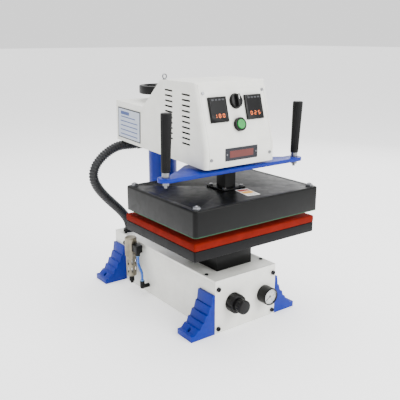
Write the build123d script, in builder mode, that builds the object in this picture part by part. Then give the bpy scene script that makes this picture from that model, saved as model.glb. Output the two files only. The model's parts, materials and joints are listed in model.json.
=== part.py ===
from build123d import *

# A swing-away, air-operated heat press: a base box on four flared feet holds a short-stroke air
# cylinder that lifts the lower platen, and a post behind it carries the swinging heated head.
# Units are millimetres. +X is the machine's right, +Y its back, +Z up.
# The origin is on the floor, at the centre of the base's underside.

import os
from math import cos, pi, radians, sin, tan

os.makedirs("parts", exist_ok=True)

# ---- Base box ----
BASE_W = 266.0
BASE_L = 660.0
BASE_H = 188.0
BASE_SHEET = 3.0
FRONT_PLATE_T = 6.0
LID_LIP = 9.0
SEAM = 0.5
LID_FLANGE = 22.0
BED_T = 10.0
BED_W = 222.0
BED_INSET = 30.0
CORNER_BLOCK = 22.0
PLATE_SCREW_INSET = 13.0
PLATE_SCREW_LOW = 17.5
PLATE_SCREW_DROP = 30.0
LID_SCREW_Y = 267.0
FRONT = -BASE_L / 2
REAR = BASE_L / 2
HALF_W = BASE_W / 2
LID_BELOW = BASE_H - BASE_SHEET

# ---- Feet ----
FOOT_REACH = 95.0
FOOT_WIDTH = 80.0
# Each pair is how far the flare stands out and how high, from the top ledge to the toe.
FOOT_LEDGES = ((10, 140), (20, 104), (36, 77), (51, 54), (66, 35), (FOOT_REACH, 20))
TOE_HOLE_R = 6.5
TOE_HOLE_INSET = 20.0
FOOT_SCREW_Z = (45.0, 95.0)

# ---- Platens, from the table up ----
PLATEN_W = 508.0
PLATEN_D = 406.0
PLATEN_Y = -181.0
LOWER_PLATEN_T = 32.0
PAD_T = 25.0
DAYLIGHT = 21.0
TABLE_SIZE = 260.0
TABLE_T = 12.0
TABLE_RISE = 98.0
TABLE_Z = BASE_H + TABLE_RISE
LOWER_Z = TABLE_Z + TABLE_T
PAD_Z = LOWER_Z + LOWER_PLATEN_T
PAD_TOP = PAD_Z + PAD_T
UPPER_Z = PAD_TOP + DAYLIGHT

# ---- Guide block and air cylinder ----
GUIDE_BLOCK_W = 150.0
GUIDE_BLOCK_D = 170.0
GUIDE_BLOCK_H = 58.0
GUIDE_ROD_R = 10.0
GUIDE_X = 48.0
GUIDE_Y = 62.0
GUIDE_BUSH_WALL = 4.0
RUNNING_FIT = 0.05
CYLINDER_BORE_R = 70.0
CYLINDER_WALL = 8.0
CYLINDER_H = 90.0
CAP_SIZE = 172.0
CAP_T = 14.0
TIE_ROD_R = 5.0
TIE_ROD_AT = 74.0
PISTON_T = 20.0
PISTON_REST = 10.0
PISTON_ROD_R = 20.0
CYLINDER_Z = BASE_SHEET + BED_T

# ---- Upper platen ----
UPPER_Y = -193.0
HEAT_D = 390.0
HEAT_T = 22.0
COVER_W = 518.0
COVER_D = 400.0
COVER_H = 80.0
COVER_SHEET = 2.0
COVER_CORNER_R = 13.0
GASKET_T = 3.0
INSULATION_T = 32.0
HEATER_R = 4.0
STUD_R = 4.0
STUD_INSET = 22.0
COVER_Z = UPPER_Z + GASKET_T
COVER_TOP = COVER_Z + COVER_H
HEAT_TOP = UPPER_Z + HEAT_T

# ---- Post and swing arm ----
POST_R = 54.0
POST_WALL = 8.0
POST_Y = 173.0
POST_TOP = 556.0
POST_FLANGE = 180.0
POST_FLANGE_T = 12.0
SPINDLE_R = 25.0
BUSH_WALL = 5.0
BUSH_H = 40.0
BUSH_FLANGE_T = 3.0
SLEEVE_WALL = 15.0
SLEEVE_H = 132.0
SPINDLE_NECK_R = 15.0
BEAM_W = 80.0
BEAM_H = 70.0
BEAM_WALL = 6.0
BEAM_NOSE = 28.0
RAIL_Y = (-150.0, 60.0)
RAIL_W = 30.0
RAIL_T = 4.0
BEAM_Z = 575.0
COLUMN_Y = -215.0
COLUMN_W = 46.0
COLUMN_WALL = 5.0
COLUMN_FOOT = 120.0
COLUMN_FOOT_T = 8.0
SLIP = 0.5

# ---- Head housing ----
HEAD_W = 290.0
SKIN = 2.0
HEAD_FRONT = -292.0
HEAD_BOTTOM = 548.0
BEND_Z = 610.0
HEAD_TOP = 811.0
PANEL_LEAN = 15.4
TOP_REAR_Y = -45.0
FOLD_Y = 70.0
FOLD_Z = 710.5
BOX_BACK = 262.0
RAKE = 2.5
TOP_EDGE_R = 14.0
PANEL_EDGE_FLANGE = 1.0
PANEL_GAP = 0.8
PANEL_TOP_Z = 788.0
BOX_LIP = 18.0
VENT_ROWS = 10
VENT_PITCH = 17.2
VENT_LENGTH = 46.0
VENT_HEIGHT = 6.0
VENT_COLUMNS = ((-92.0, 779.5), (-189.0, 772.0))

# ---- Controls on the leaning panel; v runs up the panel from its bend ----
CONTROLLER_W = 70.0
CONTROLLER_H = 80.0
CONTROLLER_X = 73.5
CONTROLLER_V = 121.0
BEZEL_PROUD = 7.0
CONTROLS_X = 3.0
SELECTOR_V = 144.0
BUTTON_V = 69.0
BUTTON_R = 15.5
BUTTON_RING_R = 22.0
SELECTOR_R = 22.0
PANEL_SCREW_X = 122.0
PANEL_SCREW_V = 175.0
PANEL_SCREW_Z = 577.0

# ---- Swing bar and grips ----
BAR_T = 12.0
BAR_TOP = 538.0
BAR_FRONT_Y = -287.0
BAR_BACK_Y = -140.0
GRIP_X = 271.0
GRIP_Y = -261.0
GRIP_LOW_R = 14.0
GRIP_TOP_R = 17.5
GRIP_H = 179.0
GRIP_FLUTES = 12
COLLAR_R = 12.0
COLLAR_H = 16.0
GRIP_STUD_R = 5.0
HANGER_R = 7.0
HANGER_AT = ((32.0, -168.0), (32.0, -255.0))

# ---- Clamp handwheel over the pivot ----
WHEEL_R = 83.0
WHEEL_RIM = 16.0
WHEEL_RIM_Z = 743.0
WHEEL_RIM_H = 30.0
WHEEL_HUB_R = 24.0
WHEEL_HUB_Z = 724.0

# ---- Front plate fittings ----
REG_X, REG_Z = -57.0, 98.0
REG_NUT_R = 33.0
REG_NUT_T = 30.0
REG_STEM_R = 9.0
REG_KNOB_R = 24.0
REG_KNOB_T = 30.0
REG_KNOB_GAP = 2.0
GAUGE_X, GAUGE_Z = 80.0, 90.5
GAUGE_R = 31.0
GAUGE_DEPTH = 38.0
GAUGE_WELL = 9.0
DIAL_T = 1.5
NEEDLE_SHAFT_R = 1.5

# ---- Air filter on the left wall ----
FILTER_X = -HALF_W - 33.0
FILTER_Y = 150.0
FILTER_TOP = 214.0
FILTER_HEAD_H = 72.0
FILTER_W = 46.0
GUARD_R = 20.0
GUARD_H = 84.0
DRAIN_R = 10.0
DRAIN_H = 30.0
PORT_Z = 178.0
TUBE_R = 5.0

# ---- Power inlet in the rear wall ----
INLET_X, INLET_Z = 70.0, 60.0
INLET_BODY_X, INLET_BODY_Z = 24.0, 18.0

# ---- Conduit from the head's underside to the base lid ----
CONDUIT_R = 18.0
ELBOW_R = 20.0
WIRE_HOLE_R = 14.0
ELBOW_X = -44.0
CONDUIT_POINTS = (
    (-72, 240, 549), (-106, 240, 549), (-146, 242, 551), (-187, 244, 537), (-225, 246, 512),
    (-252, 248, 480), (-261, 250, 443), (-248, 253, 405), (-217, 257, 364), (-178, 263, 324),
    (-139, 271, 286), (-109, 280, 250), (-92, 288, 220), (-92, 288, 197),
)
GLAND_R = 20.5


def keep(piece, name):
    """Label a finished piece and write its STEP file."""
    piece.part.label = name
    export_step(piece.part, f"parts/{name}.step")


def block(low, high, mode=Mode.ADD):
    """Add a box between two opposite corners."""
    with Locations(tuple((a + b) / 2 for a, b in zip(low, high))):
        Box(*(b - a for a, b in zip(low, high)), mode=mode)


def rod(start, end, radius, mode=Mode.ADD):
    """Add a cylinder from one end point to the other."""
    axis = Vector(*end) - Vector(*start)
    with Locations(Plane(origin=start, z_dir=axis).location):
        Cylinder(radius, axis.length, align=(Align.CENTER, Align.CENTER, Align.MIN), mode=mode)


def hex_prism(start, end, across_flats, mode=Mode.ADD):
    """Add a hexagonal prism from one end point to the other."""
    axis = Vector(*end) - Vector(*start)
    with BuildSketch(Plane(origin=start, z_dir=axis), mode=Mode.PRIVATE) as hexagon:
        RegularPolygon(across_flats / 2, 6, major_radius=False)
    extrude(hexagon.sketch, amount=axis.length, dir=axis.normalized(), mode=mode)


def cap_screw(face_point, outward, head_r, head_h, shank_r, shank_length):
    """Add a socket screw whose head stands on face_point and whose shank goes in."""
    face = Vector(*face_point)
    away = Vector(*outward)
    rod(tuple(face), tuple(face + away * head_h), head_r)
    rod(tuple(face), tuple(face - away * shank_length), shank_r)
    rod(tuple(face + away * (head_h / 2)), tuple(face + away * head_h), head_r / 2, Mode.SUBTRACT)


# ---------------------------------------------------------------- base box
INNER_FRONT = FRONT + FRONT_PLATE_T
PLATE_SCREW_X = HALF_W - PLATE_SCREW_INSET
PLATE_SCREW_ZS = (PLATE_SCREW_LOW, BASE_H - PLATE_SCREW_DROP)
SCREW_R = 4.0
SCREW_HEAD_R = 7.5
SCREW_HEAD_H = 6.0
SCREW_SLACK = 0.4
LID_SCREW_X = HALF_W - LID_FLANGE / 2 - BASE_SHEET / 2
LID_SCREW_R = 2.5
FOOT_YS = {"front": FRONT + FOOT_WIDTH / 2, "rear": REAR - FOOT_WIDTH / 2}
FOOT_SIDES = {"left": -1, "right": 1}

with BuildPart() as base_tray:
    block((0, INNER_FRONT, 0), (HALF_W, REAR, BASE_SHEET))
    block((0, INNER_FRONT + BED_INSET, BASE_SHEET), (BED_W / 2, REAR - BED_INSET, CYLINDER_Z))
    block((HALF_W - BASE_SHEET, INNER_FRONT, 0), (HALF_W, REAR, BASE_H - LID_LIP - SEAM))
    block(
        (HALF_W - 2 * BASE_SHEET, INNER_FRONT, BASE_H - 2 * LID_LIP),
        (HALF_W - BASE_SHEET, REAR - BASE_SHEET, LID_BELOW),
    )
    block(
        (HALF_W - LID_FLANGE, INNER_FRONT, LID_BELOW - BASE_SHEET),
        (HALF_W - BASE_SHEET, REAR - BASE_SHEET, LID_BELOW),
    )
    block((0, REAR - BASE_SHEET, 0), (HALF_W, REAR, LID_BELOW - SEAM))
    for screw_z in PLATE_SCREW_ZS:
        block(
            (HALF_W - BASE_SHEET - CORNER_BLOCK, INNER_FRONT, screw_z - CORNER_BLOCK / 2),
            (HALF_W - BASE_SHEET, INNER_FRONT + CORNER_BLOCK, screw_z + CORNER_BLOCK / 2),
        )
        rod(
            (PLATE_SCREW_X, INNER_FRONT, screw_z),
            (PLATE_SCREW_X, INNER_FRONT + CORNER_BLOCK, screw_z),
            SCREW_R,
            Mode.SUBTRACT,
        )
    for screw_y in (-LID_SCREW_Y, LID_SCREW_Y):
        rod(
            (LID_SCREW_X, screw_y, LID_BELOW - 2 * BASE_SHEET),
            (LID_SCREW_X, screw_y, BASE_H),
            LID_SCREW_R,
            Mode.SUBTRACT,
        )
    for foot_y in FOOT_YS.values():
        for screw_z in FOOT_SCREW_Z:
            rod((0, foot_y, screw_z), (HALF_W, foot_y, screw_z), SCREW_R, Mode.SUBTRACT)
    mirror(about=Plane.YZ)
    block(
        (INLET_X - INLET_BODY_X, REAR - BASE_SHEET, INLET_Z - INLET_BODY_Z),
        (INLET_X + INLET_BODY_X, REAR, INLET_Z + INLET_BODY_Z),
        Mode.SUBTRACT,
    )
keep(base_tray, "base_tray")

LID_OPENING_X = GUIDE_X + GUIDE_ROD_R + 4
LID_OPENING_Y = GUIDE_Y + GUIDE_ROD_R + 4
with BuildPart() as base_lid:
    block((-HALF_W, INNER_FRONT, LID_BELOW), (HALF_W, REAR, BASE_H))
    for side in (-1, 1):
        outer, inner = side * HALF_W, side * (HALF_W - BASE_SHEET)
        block(
            (min(outer, inner), INNER_FRONT, BASE_H - LID_LIP),
            (max(outer, inner), REAR - BASE_SHEET, LID_BELOW),
        )
    block(
        (-LID_OPENING_X, PLATEN_Y - LID_OPENING_Y, LID_BELOW),
        (LID_OPENING_X, PLATEN_Y + LID_OPENING_Y, BASE_H),
        Mode.SUBTRACT,
    )
    rod((0, POST_Y, LID_BELOW), (0, POST_Y, BASE_H), POST_R + 1, Mode.SUBTRACT)
    for screw_x in (-LID_SCREW_X, LID_SCREW_X):
        for screw_y in (-LID_SCREW_Y, LID_SCREW_Y):
            rod(
                (screw_x, screw_y, LID_BELOW), (screw_x, screw_y, BASE_H), LID_SCREW_R, Mode.SUBTRACT
            )
keep(base_lid, "base_lid")

with BuildPart() as front_plate:
    block((-HALF_W, FRONT, 0), (HALF_W, INNER_FRONT, BASE_H))
    for screw_x in (-PLATE_SCREW_X, PLATE_SCREW_X):
        for screw_z in PLATE_SCREW_ZS:
            rod(
                (screw_x, FRONT, screw_z),
                (screw_x, INNER_FRONT, screw_z),
                SCREW_R + SCREW_SLACK,
                Mode.SUBTRACT,
            )
    rod((REG_X, FRONT, REG_Z), (REG_X, INNER_FRONT, REG_Z), REG_NUT_R / 2, Mode.SUBTRACT)
    rod((GAUGE_X, FRONT, GAUGE_Z), (GAUGE_X, INNER_FRONT, GAUGE_Z), GAUGE_R / 3, Mode.SUBTRACT)
    fillet(front_plate.edges().filter_by(Axis.Z).group_by(Axis.Y)[0], 1.5)
keep(front_plate, "front_plate")

FOOT_SCREW_LENGTH = 12.0


def foot_outline(side):
    """The flared front outline of a foot: a ledge, then a slanting riser, down to the toe."""
    points = [(0, 0), (FOOT_REACH, 0), FOOT_LEDGES[-1]]
    for (out, top), (next_out, next_top) in reversed(list(zip(FOOT_LEDGES, FOOT_LEDGES[1:]))):
        points.append(((out + next_out) / 2, next_top))
        points.append((out, top))
    points.append((0, FOOT_LEDGES[0][1]))
    return [(side * (HALF_W + out), up) for out, up in points]


def build_foot(side, centre_y):
    """One cast foot: side is -1 on the left and 1 on the right."""
    toe_x = side * (HALF_W + FOOT_REACH - TOE_HOLE_INSET)
    with BuildPart() as foot:
        with BuildSketch(Plane.XZ.offset(-centre_y - FOOT_WIDTH / 2)):
            with BuildLine():
                Polyline(*foot_outline(side), close=True)
            make_face()
        extrude(amount=FOOT_WIDTH)
        rod((toe_x, centre_y, 0), (toe_x, centre_y, 40), TOE_HOLE_R, Mode.SUBTRACT)
        for screw_z in FOOT_SCREW_Z:
            wall = side * HALF_W
            rod(
                (wall, centre_y, screw_z),
                (wall + side * FOOT_SCREW_LENGTH, centre_y, screw_z),
                SCREW_R,
                Mode.SUBTRACT,
            )
    return foot


for end, foot_y in FOOT_YS.items():
    for hand, side in FOOT_SIDES.items():
        keep(build_foot(side, foot_y), f"foot_{end}_{hand}")

# ---------------------------------------------------------------- air cylinder and guide block
BARREL_Z = CYLINDER_Z + CAP_T
BARREL_TOP = BARREL_Z + CYLINDER_H
CAP_TOP = BARREL_TOP + CAP_T

with BuildPart() as cylinder_barrel:
    rod((0, PLATEN_Y, BARREL_Z), (0, PLATEN_Y, BARREL_TOP), CYLINDER_BORE_R + CYLINDER_WALL)
    rod((0, PLATEN_Y, BARREL_Z), (0, PLATEN_Y, BARREL_TOP), CYLINDER_BORE_R, Mode.SUBTRACT)
keep(cylinder_barrel, "cylinder_barrel")

with BuildPart() as cylinder_caps:
    half_cap = CAP_SIZE / 2
    for low, high in ((CYLINDER_Z, BARREL_Z), (BARREL_TOP, CAP_TOP)):
        block((-half_cap, PLATEN_Y - half_cap, low), (half_cap, PLATEN_Y + half_cap, high))
    rod(
        (0, PLATEN_Y, BARREL_TOP), (0, PLATEN_Y, CAP_TOP), PISTON_ROD_R + RUNNING_FIT, Mode.SUBTRACT
    )
    for tie_x in (-TIE_ROD_AT, TIE_ROD_AT):
        for tie_y in (PLATEN_Y - TIE_ROD_AT, PLATEN_Y + TIE_ROD_AT):
            rod((tie_x, tie_y, BARREL_TOP), (tie_x, tie_y, CAP_TOP), TIE_ROD_R, Mode.SUBTRACT)
keep(cylinder_caps, "cylinder_caps")

POST_BOLT_AT = POST_FLANGE / 2 - 15
# Every screw, bolt and tie rod of the base is one group of separate solids.
with BuildPart() as base_screws:
    for screw_x in (-PLATE_SCREW_X, PLATE_SCREW_X):
        for screw_z in PLATE_SCREW_ZS:
            cap_screw(
                (screw_x, FRONT, screw_z),
                (0, -1, 0),
                SCREW_HEAD_R,
                SCREW_HEAD_H,
                SCREW_R,
                FRONT_PLATE_T + CORNER_BLOCK - 8,
            )
    for screw_x in (-LID_SCREW_X, LID_SCREW_X):
        for screw_y in (-LID_SCREW_Y, LID_SCREW_Y):
            cap_screw((screw_x, screw_y, BASE_H), (0, 0, 1), 6.0, 3.0, LID_SCREW_R, 2 * BASE_SHEET)
    for foot_y in FOOT_YS.values():
        for side in FOOT_SIDES.values():
            for screw_z in FOOT_SCREW_Z:
                inside = side * (HALF_W - BASE_SHEET)
                cap_screw(
                    (inside, foot_y, screw_z),
                    (-side, 0, 0),
                    6.5,
                    SCREW_HEAD_H,
                    SCREW_R,
                    BASE_SHEET + FOOT_SCREW_LENGTH,
                )
    for bolt_x in (-POST_BOLT_AT, POST_BOLT_AT):
        for bolt_y in (POST_Y - POST_BOLT_AT, POST_Y + POST_BOLT_AT):
            hex_prism(
                (bolt_x, bolt_y, CYLINDER_Z + POST_FLANGE_T),
                (bolt_x, bolt_y, CYLINDER_Z + POST_FLANGE_T + 8),
                19.0,
            )
    for tie_x in (-TIE_ROD_AT, TIE_ROD_AT):
        for tie_y in (PLATEN_Y - TIE_ROD_AT, PLATEN_Y + TIE_ROD_AT):
            rod((tie_x, tie_y, BARREL_Z), (tie_x, tie_y, CAP_TOP), TIE_ROD_R)
            hex_prism((tie_x, tie_y, CAP_TOP), (tie_x, tie_y, CAP_TOP + 7), 16.0)
keep(base_screws, "base_screws")

GUIDE_SPOTS = [(x, PLATEN_Y + y) for x in (-GUIDE_X, GUIDE_X) for y in (-GUIDE_Y, GUIDE_Y)]
GUIDE_BUSH_R = GUIDE_ROD_R + RUNNING_FIT + GUIDE_BUSH_WALL
GUIDE_TOP = BASE_H + GUIDE_BLOCK_H
ROD_CLEAR = 3.0

with BuildPart() as guide_block:
    block(
        (-GUIDE_BLOCK_W / 2, PLATEN_Y - GUIDE_BLOCK_D / 2, BASE_H),
        (GUIDE_BLOCK_W / 2, PLATEN_Y + GUIDE_BLOCK_D / 2, GUIDE_TOP),
    )
    chamfer(guide_block.edges().group_by(Axis.Z)[-1], 3)
    rod((0, PLATEN_Y, BASE_H), (0, PLATEN_Y, GUIDE_TOP), PISTON_ROD_R + ROD_CLEAR, Mode.SUBTRACT)
    for x, y in GUIDE_SPOTS:
        rod((x, y, BASE_H), (x, y, GUIDE_TOP), GUIDE_BUSH_R, Mode.SUBTRACT)
keep(guide_block, "guide_block")

with BuildPart() as guide_bushes:
    for x, y in GUIDE_SPOTS:
        rod((x, y, BASE_H), (x, y, GUIDE_TOP), GUIDE_BUSH_R)
        rod((x, y, GUIDE_TOP), (x, y, GUIDE_TOP + 3), GUIDE_BUSH_R + 3)
        rod((x, y, BASE_H), (x, y, GUIDE_TOP + 3), GUIDE_ROD_R + RUNNING_FIT, Mode.SUBTRACT)
keep(guide_bushes, "guide_bushes")

# ---------------------------------------------------------------- lifting table
PISTON_Z = BARREL_Z + PISTON_REST
with BuildPart() as piston_rod:
    rod((0, PLATEN_Y, PISTON_Z + PISTON_T), (0, PLATEN_Y, TABLE_Z), PISTON_ROD_R)
    rod((0, PLATEN_Y, PISTON_Z), (0, PLATEN_Y, PISTON_Z + PISTON_T), CYLINDER_BORE_R - RUNNING_FIT)
keep(piston_rod, "piston_rod")

with BuildPart() as guide_rods:
    for x, y in GUIDE_SPOTS:
        rod((x, y, BASE_H - 18), (x, y, TABLE_Z), GUIDE_ROD_R)
keep(guide_rods, "guide_rods")

TABLE_BOLT_AT = TABLE_SIZE / 2 - 22
TABLE_BOLT_R = 5.0
TABLE_BOLT_SPOTS = [
    (x, PLATEN_Y + y) for x in (-TABLE_BOLT_AT, TABLE_BOLT_AT) for y in (-TABLE_BOLT_AT, TABLE_BOLT_AT)
]
with BuildPart() as table_plate:
    half_table = TABLE_SIZE / 2
    block((-half_table, PLATEN_Y - half_table, TABLE_Z), (half_table, PLATEN_Y + half_table, LOWER_Z))
    fillet(table_plate.edges().filter_by(Axis.Z), 10)
    for x, y in TABLE_BOLT_SPOTS:
        rod((x, y, TABLE_Z), (x, y, LOWER_Z), TABLE_BOLT_R + SCREW_SLACK, Mode.SUBTRACT)
keep(table_plate, "table_plate")

BOLT_BITE = 14.0
with BuildPart() as table_bolts:
    for x, y in TABLE_BOLT_SPOTS:
        hex_prism((x, y, TABLE_Z - 7), (x, y, TABLE_Z), 17.0)
        rod((x, y, TABLE_Z), (x, y, LOWER_Z + BOLT_BITE), TABLE_BOLT_R)
keep(table_bolts, "table_bolts")

with BuildPart() as lower_platen:
    block(
        (-PLATEN_W / 2, PLATEN_Y - PLATEN_D / 2, LOWER_Z), (PLATEN_W / 2, PLATEN_Y + PLATEN_D / 2, PAD_Z)
    )
    fillet(lower_platen.edges().filter_by(Axis.Z), 6)
    chamfer(lower_platen.edges().group_by(Axis.Z)[0], 1)
    for x, y in TABLE_BOLT_SPOTS:
        rod((x, y, LOWER_Z), (x, y, LOWER_Z + BOLT_BITE), TABLE_BOLT_R, Mode.SUBTRACT)
keep(lower_platen, "lower_platen")

with BuildPart() as silicone_pad:
    block(
        (-PLATEN_W / 2, PLATEN_Y - PLATEN_D / 2, PAD_Z), (PLATEN_W / 2, PLATEN_Y + PLATEN_D / 2, PAD_TOP)
    )
    fillet(silicone_pad.edges().filter_by(Axis.Z), 6)
    fillet(silicone_pad.edges().group_by(Axis.Z)[-1], 1.5)
keep(silicone_pad, "silicone_pad")

# ---------------------------------------------------------------- post and pivot
SLEEVE_Z = POST_TOP + BUSH_FLANGE_T
SLEEVE_TOP = SLEEVE_Z + SLEEVE_H
BUSH_R = SPINDLE_R + RUNNING_FIT + BUSH_WALL
SLEEVE_R = BUSH_R + SLEEVE_WALL
PLUG_T = 40.0
WHEEL_HUB_TOP = WHEEL_RIM_Z + WHEEL_RIM_H - 4

with BuildPart() as post:
    half_flange = POST_FLANGE / 2
    block(
        (-half_flange, POST_Y - half_flange, CYLINDER_Z),
        (half_flange, POST_Y + half_flange, CYLINDER_Z + POST_FLANGE_T),
    )
    rod((0, POST_Y, CYLINDER_Z), (0, POST_Y, POST_TOP), POST_R)
    rod((0, POST_Y, CYLINDER_Z), (0, POST_Y, POST_TOP), POST_R - POST_WALL, Mode.SUBTRACT)
keep(post, "post")

with BuildPart() as pivot_spindle:
    rod((0, POST_Y, POST_TOP - PLUG_T), (0, POST_Y, POST_TOP), POST_R - POST_WALL)
    rod((0, POST_Y, POST_TOP), (0, POST_Y, SLEEVE_TOP - 2), SPINDLE_R)
    rod((0, POST_Y, SLEEVE_TOP - 2), (0, POST_Y, WHEEL_HUB_TOP), SPINDLE_NECK_R)
keep(pivot_spindle, "pivot_spindle")

with BuildPart() as pivot_bushes:
    for low, high in ((SLEEVE_Z, SLEEVE_Z + BUSH_H), (SLEEVE_TOP - BUSH_H, SLEEVE_TOP - 4)):
        rod((0, POST_Y, low), (0, POST_Y, high), BUSH_R)
    rod((0, POST_Y, POST_TOP), (0, POST_Y, SLEEVE_Z), SLEEVE_R - 2)
    rod((0, POST_Y, POST_TOP), (0, POST_Y, SLEEVE_TOP), SPINDLE_R + RUNNING_FIT, Mode.SUBTRACT)
keep(pivot_bushes, "pivot_bushes")

# The swing arm is one weldment: the sleeve on the pivot and the box beam reaching forward.
BEAM_FRONT = COLUMN_Y - COLUMN_W / 2 - BEAM_NOSE
with BuildPart() as swing_arm:
    block((-BEAM_W / 2, BEAM_FRONT, BEAM_Z), (BEAM_W / 2, POST_Y - BUSH_R, BEAM_Z + BEAM_H))
    block(
        (-BEAM_W / 2 + BEAM_WALL, BEAM_FRONT, BEAM_Z + BEAM_WALL),
        (BEAM_W / 2 - BEAM_WALL, POST_Y - SLEEVE_R, BEAM_Z + BEAM_H - BEAM_WALL),
        Mode.SUBTRACT,
    )
    for rail_y in RAIL_Y:
        block(
            (-HEAD_W / 2 + SKIN, rail_y, BEAM_Z + BEAM_H),
            (HEAD_W / 2 - SKIN, rail_y + RAIL_W, BEAM_Z + BEAM_H + RAIL_T),
        )
    rod((0, POST_Y, SLEEVE_Z), (0, POST_Y, SLEEVE_TOP), SLEEVE_R)
    rod((0, POST_Y, SLEEVE_Z), (0, POST_Y, SLEEVE_TOP), BUSH_R, Mode.SUBTRACT)
keep(swing_arm, "swing_arm")

with BuildPart() as column:
    half_column, half_foot = COLUMN_W / 2, COLUMN_FOOT / 2
    block(
        (-half_foot, COLUMN_Y - half_foot, HEAT_TOP),
        (half_foot, COLUMN_Y + half_foot, HEAT_TOP + COLUMN_FOOT_T),
    )
    block((-half_column, COLUMN_Y - half_column, HEAT_TOP), (half_column, COLUMN_Y + half_column, BEAM_Z))
    hollow = half_column - COLUMN_WALL
    block((-hollow, COLUMN_Y - hollow, HEAT_TOP), (hollow, COLUMN_Y + hollow, BEAM_Z), Mode.SUBTRACT)
keep(column, "column")

COLLAR_HALF = 48.0
COLLAR_T = 6.0
with BuildPart() as column_collar:
    block(
        (-COLLAR_HALF, COLUMN_Y - COLLAR_HALF, COVER_TOP),
        (COLLAR_HALF, COLUMN_Y + COLLAR_HALF, COVER_TOP + COLLAR_T),
    )
    fillet(column_collar.edges().filter_by(Axis.Z), 6)
    slip = half_column + SLIP
    block((-slip, COLUMN_Y - slip, COVER_TOP), (slip, COLUMN_Y + slip, COVER_TOP + COLLAR_T), Mode.SUBTRACT)
keep(column_collar, "column_collar")

# ---------------------------------------------------------------- heated upper platen
with BuildPart() as heat_platen:
    block(
        (-PLATEN_W / 2, UPPER_Y - HEAT_D / 2, UPPER_Z), (PLATEN_W / 2, UPPER_Y + HEAT_D / 2, HEAT_TOP)
    )
    fillet(heat_platen.edges().filter_by(Axis.Z), COVER_CORNER_R - 5)
keep(heat_platen, "heat_platen")

with BuildPart() as edge_gasket:
    block(
        (-COVER_W / 2, UPPER_Y - COVER_D / 2, UPPER_Z), (COVER_W / 2, UPPER_Y + COVER_D / 2, COVER_Z)
    )
    fillet(edge_gasket.edges().filter_by(Axis.Z), COVER_CORNER_R)
    with BuildSketch(Plane.XY.offset(UPPER_Z)):
        with Locations((0, UPPER_Y)):
            RectangleRounded(PLATEN_W, HEAT_D, COVER_CORNER_R - 5)
    extrude(amount=GASKET_T, mode=Mode.SUBTRACT)
keep(edge_gasket, "edge_gasket")

HEATER_TURNS = 4
with BuildPart() as heating_element:
    reach_x, reach_y = PLATEN_W / 2 - 40, HEAT_D / 2 - 30
    keep_out = COLUMN_FOOT / 2 + 14
    lane = (reach_x - keep_out) / (2 * HEATER_TURNS - 1)
    lanes = [-reach_x + lane * i for i in range(2 * HEATER_TURNS)]
    route = []
    for index, x in enumerate(lanes):
        ends = (UPPER_Y - reach_y, UPPER_Y + reach_y)
        route += [(x, end) for end in (ends if index % 2 == 0 else ends[::-1])]
    with BuildLine(Plane.XY.offset(HEAT_TOP + HEATER_R)) as heater_line:
        FilletPolyline(*route, radius=lane * 0.45)
    with BuildSketch(Plane(origin=heater_line.line @ 0, z_dir=heater_line.line % 0)):
        Circle(HEATER_R)
    sweep()
    mirror(about=Plane.YZ)
keep(heating_element, "heating_element")

INSULATION_Z = HEAT_TOP + 2 * HEATER_R + 1
with BuildPart() as insulation:
    block(
        (-PLATEN_W / 2 + 6, UPPER_Y - HEAT_D / 2 + 6, INSULATION_Z),
        (PLATEN_W / 2 - 6, UPPER_Y + HEAT_D / 2 - 6, INSULATION_Z + INSULATION_T),
    )
    fillet(insulation.edges().filter_by(Axis.Z), COVER_CORNER_R - 8)
    gap = COLUMN_FOOT / 2 + 4
    block(
        (-gap, COLUMN_Y - gap, INSULATION_Z),
        (gap, COLUMN_Y + gap, INSULATION_Z + INSULATION_T),
        Mode.SUBTRACT,
    )
    stud_spots = [
        (x, UPPER_Y + y)
        for x in (-COVER_W / 2 + STUD_INSET, COVER_W / 2 - STUD_INSET)
        for y in (-COVER_D / 2 + STUD_INSET, COVER_D / 2 - STUD_INSET)
    ]
    for x, y in stud_spots:
        rod((x, y, INSULATION_Z), (x, y, INSULATION_Z + INSULATION_T), STUD_R + 2, Mode.SUBTRACT)
keep(insulation, "insulation")

with BuildPart() as upper_cover:
    block(
        (-COVER_W / 2, UPPER_Y - COVER_D / 2, COVER_Z), (COVER_W / 2, UPPER_Y + COVER_D / 2, COVER_TOP)
    )
    fillet(upper_cover.edges().filter_by(Axis.Z), COVER_CORNER_R)
    fillet(upper_cover.edges().group_by(Axis.Z)[-1], 6)
    with BuildSketch(Plane.XY.offset(COVER_Z)):
        with Locations((0, UPPER_Y)):
            RectangleRounded(
                COVER_W - 2 * COVER_SHEET, COVER_D - 2 * COVER_SHEET, COVER_CORNER_R - COVER_SHEET
            )
    extrude(amount=COVER_H - COVER_SHEET - 4, mode=Mode.SUBTRACT)
    with BuildSketch(Plane.XY.offset(COVER_TOP - COVER_SHEET - 4)):
        with Locations((0, UPPER_Y)):
            RectangleRounded(COVER_W - 6 * COVER_SHEET, COVER_D - 6 * COVER_SHEET, COVER_CORNER_R - 6)
    extrude(amount=4, mode=Mode.SUBTRACT)
    block((-slip, COLUMN_Y - slip, COVER_TOP - 10), (slip, COLUMN_Y + slip, COVER_TOP), Mode.SUBTRACT)
    for x, y in stud_spots:
        rod((x, y, COVER_Z), (x, y, COVER_TOP), STUD_R, Mode.SUBTRACT)
keep(upper_cover, "upper_cover")

# ---------------------------------------------------------------- head housing
TOP_FRONT_Y = HEAD_FRONT + (HEAD_TOP - BEND_Z) * tan(radians(PANEL_LEAN))


def underside_z(y):
    """Height of the head's raked underside at y."""
    return HEAD_BOTTOM + (y - HEAD_FRONT) * tan(radians(RAKE))


def box_top_z(y):
    """Height of the rear box's raked top at y."""
    return FOLD_Z + (y - FOLD_Y) * tan(radians(RAKE))


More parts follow.
